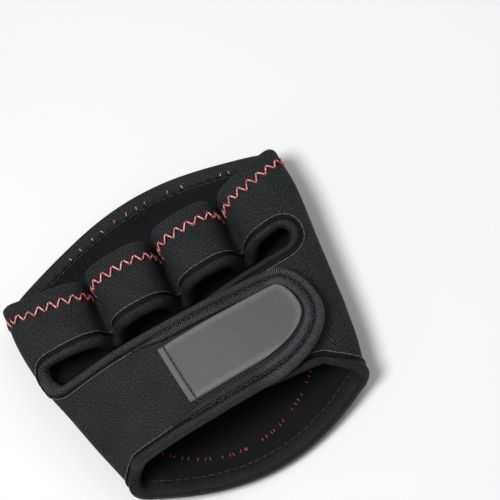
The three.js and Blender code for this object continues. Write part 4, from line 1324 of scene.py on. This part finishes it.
class GRIP_PAD_OT_tape(bpy.types.Operator):
    """Fold the ribbed elastic tape round all open edges"""
    bl_idname = "grip_pad.tape"
    bl_label = "Edge tape"

    def execute(self, context):
        obj, tape = build_binding(context.scene.grip_pad)
        dress(obj, tape_material(), "elastic_tape", "edge_binding")
        return {"FINISHED"}


class GRIP_PAD_OT_patches(bpy.types.Operator):
    """Lay on the patch under the palm, the grey patch on the tab and the closure between tab and underlap"""
    bl_idname = "grip_pad.patches"
    bl_label = "Patches and closure"

    def execute(self, context):
        grip, rows = build_grip_patch()
        dress(grip, grip_material(), "grip_cloth", "grip_patch")
        cover, rows = build_tab_patch()
        dress(cover, tab_material(), "tab_cloth", "tab_patch")
        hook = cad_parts["hook_pad"]
        hook.data.materials.clear()
        hook.data.materials.append(hook_material())
        return {"FINISHED"}


class GRIP_PAD_OT_red_stitches(bpy.types.Operator):
    """Sew the red zigzags along the hems and round the palm patch, and their dots on the inside"""
    bl_idname = "grip_pad.red_stitches"
    bl_label = "Red stitches"

    def execute(self, context):
        config = context.scene.grip_pad
        red = thread_material("red_thread", tuple(config.red_shade), tuple(config.red_highlight), 3.5)
        # Darker reds as painted shade: one for the shadow under the zigzag, one for the dots in the wrist's
        # shade
        deep = thread_material("red_thread_in_shade", (0.02, 0.001, 0.001), (0.14, 0.005, 0.006), 1.0)
        shaded_red = thread_material("red_thread_inside", (0.14, 0.006, 0.007), (0.72, 0.10, 0.09), 2.0)
        thread, surface = config.thread / MM, NEOPRENE / 2 - 0.12
        ends = [strip.start - PINCH_GAP, *PINCH_PLACES, strip.end + PINCH_GAP]
        hems = [palm_hem_path(palm_hem, surface)] + [
            hem_path(strip, strip_front, low + PINCH_GAP, high - PINCH_GAP, HEM_STITCH, surface)
            for low, high in zip(ends, ends[1:])
        ]
        zigzag = {"Stitch": PITCH / 2, "Swing": ZIGZAG, "Thread": thread * 1.4, "Rise": 0.38, "Dip": 0.5,
                  "Show": 0.93, "Wander": 0.16, "Seed": config.seed}
        sew("hem_zigzag", hems, red, "red_thread", zigzag)
        # A thicker dark red strand just under the zigzag: painted shadow round the thread
        under = {**zigzag, "Thread": thread * 2.2, "Rise": 0.16, "Swing": ZIGZAG * 1.06, "Wander": 0.3,
                 "Seed": config.seed + 9, "Sides": 6}
        sew("hem_zigzag_painted_shadow", hems, deep, "red_thread", under)
        sew("patch_zigzag", [patch_seam(0.9, 1)], red, "red_thread", zigzag, floor=True)
        # The dots that show on the other side, behind the palm's middle and along its hem; those at the rear,
        # inside the wrist, are a darker red as painted shade
        dots = {"Stitch": DOT * 0.9, "Thread": thread * 0.8, "Rise": 0.22, "Dip": 0.5, "Show": 0.9}
        through_palm = patch_seam(0.9, -1)
        rear = through_palm[0][:, 1] < -50
        seam = ticks([part[rear] for part in through_palm], 2.0, 0.8, 0.8 * DOT, config.seed)
        sew("seam_dots", seam, shaded_red, "red_thread", dots)
        hem = palm_hem_path(lambda s: palm_hem(s) - 0.9, NEOPRENE / 2 + HEM_EXTRA, -1)
        sew("hem_dots", ticks(hem, PITCH * 1.15, 0.55, DOT, config.seed + 1), red, "red_thread", dots)
        return {"FINISHED"}


def patch_seam(inset, outside):
    """The path of the zigzag round the palm patch, on the outer side or coming through on the inner side."""
    outline = grip_outline(260)
    half = np.concatenate([outline, outline[::-1] * (1, -1)])
    tangent = unit(np.gradient(half, axis=0))
    y, x = (half + np.stack([-tangent[:, 1], tangent[:, 0]], 1) * -inset).T
    keep = np.abs(x) > 0.2
    y, x = y[keep], x[keep]
    s = palm.place_at_x(x, y, LEFT_FOLD, RIGHT_FOLD)
    base = NEOPRENE / 2 + (LYING + GRIP * 0.8 if outside > 0 else 0)
    at, side, lift = on_panel(palm, s, y, base, outside)
    if outside > 0:
        centre = np.array((0.0, float(y.mean()), at[:, 2].mean()))
        away = np.sign(((at - centre) * side).sum(1, keepdims=True))
        side = side - lift * away * 0.3
    return at, side, lift


class GRIP_PAD_OT_black_stitches(bpy.types.Operator):
    """Sew the black seams: the lines that make the loops, their bar tacks, and the tape's seams"""
    bl_idname = "grip_pad.black_stitches"
    bl_label = "Black stitches"

    def execute(self, context):
        config = context.scene.grip_pad
        black = thread_material("black_thread", (0.0015, 0.0015, 0.0015), (0.012, 0.0125, 0.013), 0.3)
        # The pale thread is a painted highlight for the tape's edge
        pale = thread_material("worn_black_thread", (0.02, 0.022, 0.024), (0.17, 0.18, 0.19), 0.9)
        thread = config.thread / MM
        seams, tacks = pinch_seams()
        seams.append(palm_hem_path(lambda s: palm_hem(s) + 0.9, NEOPRENE / 2 + 0.35, -1))
        running = {"Stitch": 2.7, "Thread": thread, "Rise": 0.3, "Dip": 0.4, "Show": 0.88, "Wander": 0.06,
                   "Seed": config.seed}
        sew("loop_seams", seams, black, "black_thread", running, floor=True)
        tack = {"Stitch": 0.36, "Swing": 1.9, "Thread": 0.36, "Rise": 0.3, "Dip": 0.3, "Show": 0.95,
                "Wander": 0.1, "Seed": config.seed + 1}
        sew("bar_tacks", tacks, black, "black_thread", tack, floor=True)
        # The tape's seam lies in a groove round the tab; elsewhere its pale stitches are a painted highlight
        # along the tape's edge
        tape = Tape(0.8)
        first, last = tape.wide_zone()
        groove = {"Stitch": 1.7, "Swing": 0.5, "Thread": 0.5, "Rise": 0.26, "Dip": 0.3, "Show": 0.9,
                  "Wander": 0.12, "Seed": config.seed + 5}
        sew("strap_seam", [tape.path(first, last, SEAM, NEOPRENE / 2 + 0.42)], black, "black_thread", groove)
        rows = tab_patch_rows(TAB_INSET + 0.3, 40)
        y = rows[:, 0]
        s = strap.place_at_x(rows[:, 1] + TAB_SEAM, y, strap.start, strap.end)
        line = on_panel(strap, s, y, NEOPRENE / 2 + LYING + TAB_PATCH - 0.3)
        short = {**running, "Stitch": 2.0, "Thread": 0.5, "Show": 0.72}
        sew("tab_seam", [line], black, "black_thread", short)
        edges = [
            tape.path(low, high, TAPE_REACH - 0.1, NEOPRENE / 2 + 0.32)
            for low, high in ((1.0, first), (last, tape.length - 1.0))
        ]
        edge = {"Stitch": 2.3, "Thread": 0.3, "Rise": 0.16, "Dip": 0.4, "Show": 0.95, "Wander": 0.05,
                "Seed": config.seed + 2}
        sew("tape_seam", edges, pale, "black_thread", edge)
        wrist = tape.path(tape.starts[HEEL_EDGE] + 1, tape.starts[FLAP_REAR_EDGE] + 30, TAPE_INNER + 0.2,
                          NEOPRENE / 2 + 0.05, -1)
        sew("wrist_seam", [wrist], black, "black_thread", running)
        return {"FINISHED"}


def pinch_seams():
    """The seams that sew the loops down and the bar tacks across them, on the strip and under the palm."""
    seams, tacks = [], []
    under = LYING + GRIP
    for place, x in zip(PINCH_PLACES, PINCHES):
        ends = (float(strip_front(place)) - 0.8, float(strip_rear(place)) + 4.6)
        for panel, (front, rear), points, seam_height, tack_height, half in (
            (strip, ends, 80, -0.05, -0.02, 0.9), (palm, PALM_SEAM, 90, under - 0.55, under - 0.3, 1.0),
        ):
            middle = front + (rear - front) * BAR_TACK
            for paths, y, height in (
                (seams, np.linspace(front, rear, points), seam_height),
                (tacks, np.linspace(middle + half, middle - half, 12), tack_height),
            ):
                s = np.full(len(y), float(place))
                if panel is palm:
                    s = palm.place_at_x(np.full(len(y), x), y, LEFT_FOLD, RIGHT_FOLD)
                paths.append(on_panel(panel, s, y, NEOPRENE / 2 + height))
    return seams, tacks


# The photo's view: the camera's bearing and height, how far the pad is turned in the picture, and its scale
VIEW_AZIMUTH = 14.0
VIEW_ELEVATION = 68.0
VIEW_TURN = 31.0
SENSOR = 36.0
PICTURE = 500                  # pixels
SCALE = 3.02                   # pixels for each millimetre at the anchor
ANCHOR = (0.0, -35.0, 12.0)    # a place on the pad, and where the picture shows it
ANCHOR_PIXEL = (185.0, 318.0)
FLOOR_HALF = 1.6               # metres from the floor's middle to its sides
LIT_PLACE = Vector((0, 0, 0.01))    # what the lights face, in metres


def photo_camera(lens):
    """The camera's matrix, in the frame's metres."""
    azimuth, elevation = math.radians(VIEW_AZIMUTH), math.radians(VIEW_ELEVATION)
    back = Vector((math.sin(azimuth) * math.cos(elevation), -math.cos(azimuth) * math.cos(elevation),
                   math.sin(elevation)))
    level = Vector((math.cos(azimuth), math.sin(azimuth), 0))
    upright = back.cross(level)
    turn = math.radians(VIEW_TURN) - math.atan2(upright.x, level.x)
    right = level * math.cos(turn) - upright * math.sin(turn)
    up = level * math.sin(turn) + upright * math.cos(turn)
    distance = lens / SENSOR * PICTURE / SCALE
    across = (ANCHOR_PIXEL[0] - PICTURE / 2) / SCALE
    rise = (PICTURE / 2 - ANCHOR_PIXEL[1]) / SCALE
    anchor = Vector(ANCHOR) + Vector(ORIGIN)
    matrix = Matrix((right, up, back)).transposed().to_4x4()
    matrix.translation = (anchor + back * distance - right * across - up * rise) * MM
    return matrix


def area_light(name, position, size, power):
    """A soft round light that faces the pad, in metres and watts."""
    light = bpy.data.lights.new(name, "AREA")
    light.shape = "DISK"
    light.size = size
    light.energy = power
    obj = new_object(name, light)
    obj.location = position
    obj.rotation_euler = (LIT_PLACE - Vector(position)).to_track_quat("-Z", "Y").to_euler()


class GRIP_PAD_OT_stage(bpy.types.Operator):
    """Set up the pale floor, the soft lights and the photo's camera"""
    bl_idname = "grip_pad.stage"
    bl_label = "Stage"

    def execute(self, context):
        scene = context.scene
        ways = ((-1, -1), (1, -1), (1, 1), (-1, 1))
        corners = [(x * FLOOR_HALF, y * FLOOR_HALF, -FLOOR_GAP) for x, y in ways]
        mesh = bpy.data.meshes.new("floor")
        mesh.from_pydata(corners, [], [(0, 1, 2, 3)])
        mesh.materials.append(floor_material())
        floor = new_object("floor", mesh)
        world = scene.world or bpy.data.worlds.new("studio")
        scene.world = world
        world.use_nodes = True
        background = world.node_tree.nodes.get("Background")
        background.inputs["Color"].default_value = (0.95, 0.975, 1.0, 1.0)
        background.inputs["Strength"].default_value = 0.30
        scene.view_settings.view_transform = "Standard"
        area_light("key_light", (-0.16, -0.02, 0.66), 0.30, 3.6)
        area_light("fill_light", (0.45, 0.10, 0.60), 0.5, 0.9)
        data = bpy.data.cameras.new("photo_camera")
        data.lens = context.scene.grip_pad.lens
        data.sensor_width = SENSOR
        data.clip_start = 0.01
        camera = new_object("photo_camera", data)
        camera.matrix_world = photo_camera(data.lens)
        scene.camera = camera
        return {"FINISHED"}


OPERATORS = (
    GRIP_PAD_OT_neoprene, GRIP_PAD_OT_tape, GRIP_PAD_OT_patches, GRIP_PAD_OT_red_stitches,
    GRIP_PAD_OT_black_stitches, GRIP_PAD_OT_stage,
)


class GRIP_PAD_PT_sidebar(bpy.types.Panel):
    """Sizes and steps of the grip pad"""
    bl_label = "Grip Pad"
    bl_idname = "GRIP_PAD_PT_sidebar"
    bl_space_type = "VIEW_3D"
    bl_region_type = "UI"
    bl_category = "Grip Pad"

    def draw(self, context):
        for key in GripPadSettings.__annotations__:
            self.layout.prop(context.scene.grip_pad, key)
        for operator in OPERATORS:
            self.layout.operator(operator.bl_idname)


CLASSES = (GripPadSettings, *OPERATORS, GRIP_PAD_PT_sidebar)


def register():
    for cls in CLASSES:
        bpy.utils.register_class(cls)
    bpy.types.Scene.grip_pad = PointerProperty(type=GripPadSettings)


def unregister():
    del bpy.types.Scene.grip_pad
    for cls in reversed(CLASSES):
        bpy.utils.unregister_class(cls)


def main():
    register()
    for operator in OPERATORS:
        group, name = operator.bl_idname.split(".")
        getattr(getattr(bpy.ops, group), name)()


if __name__ == "__main__":
    main()
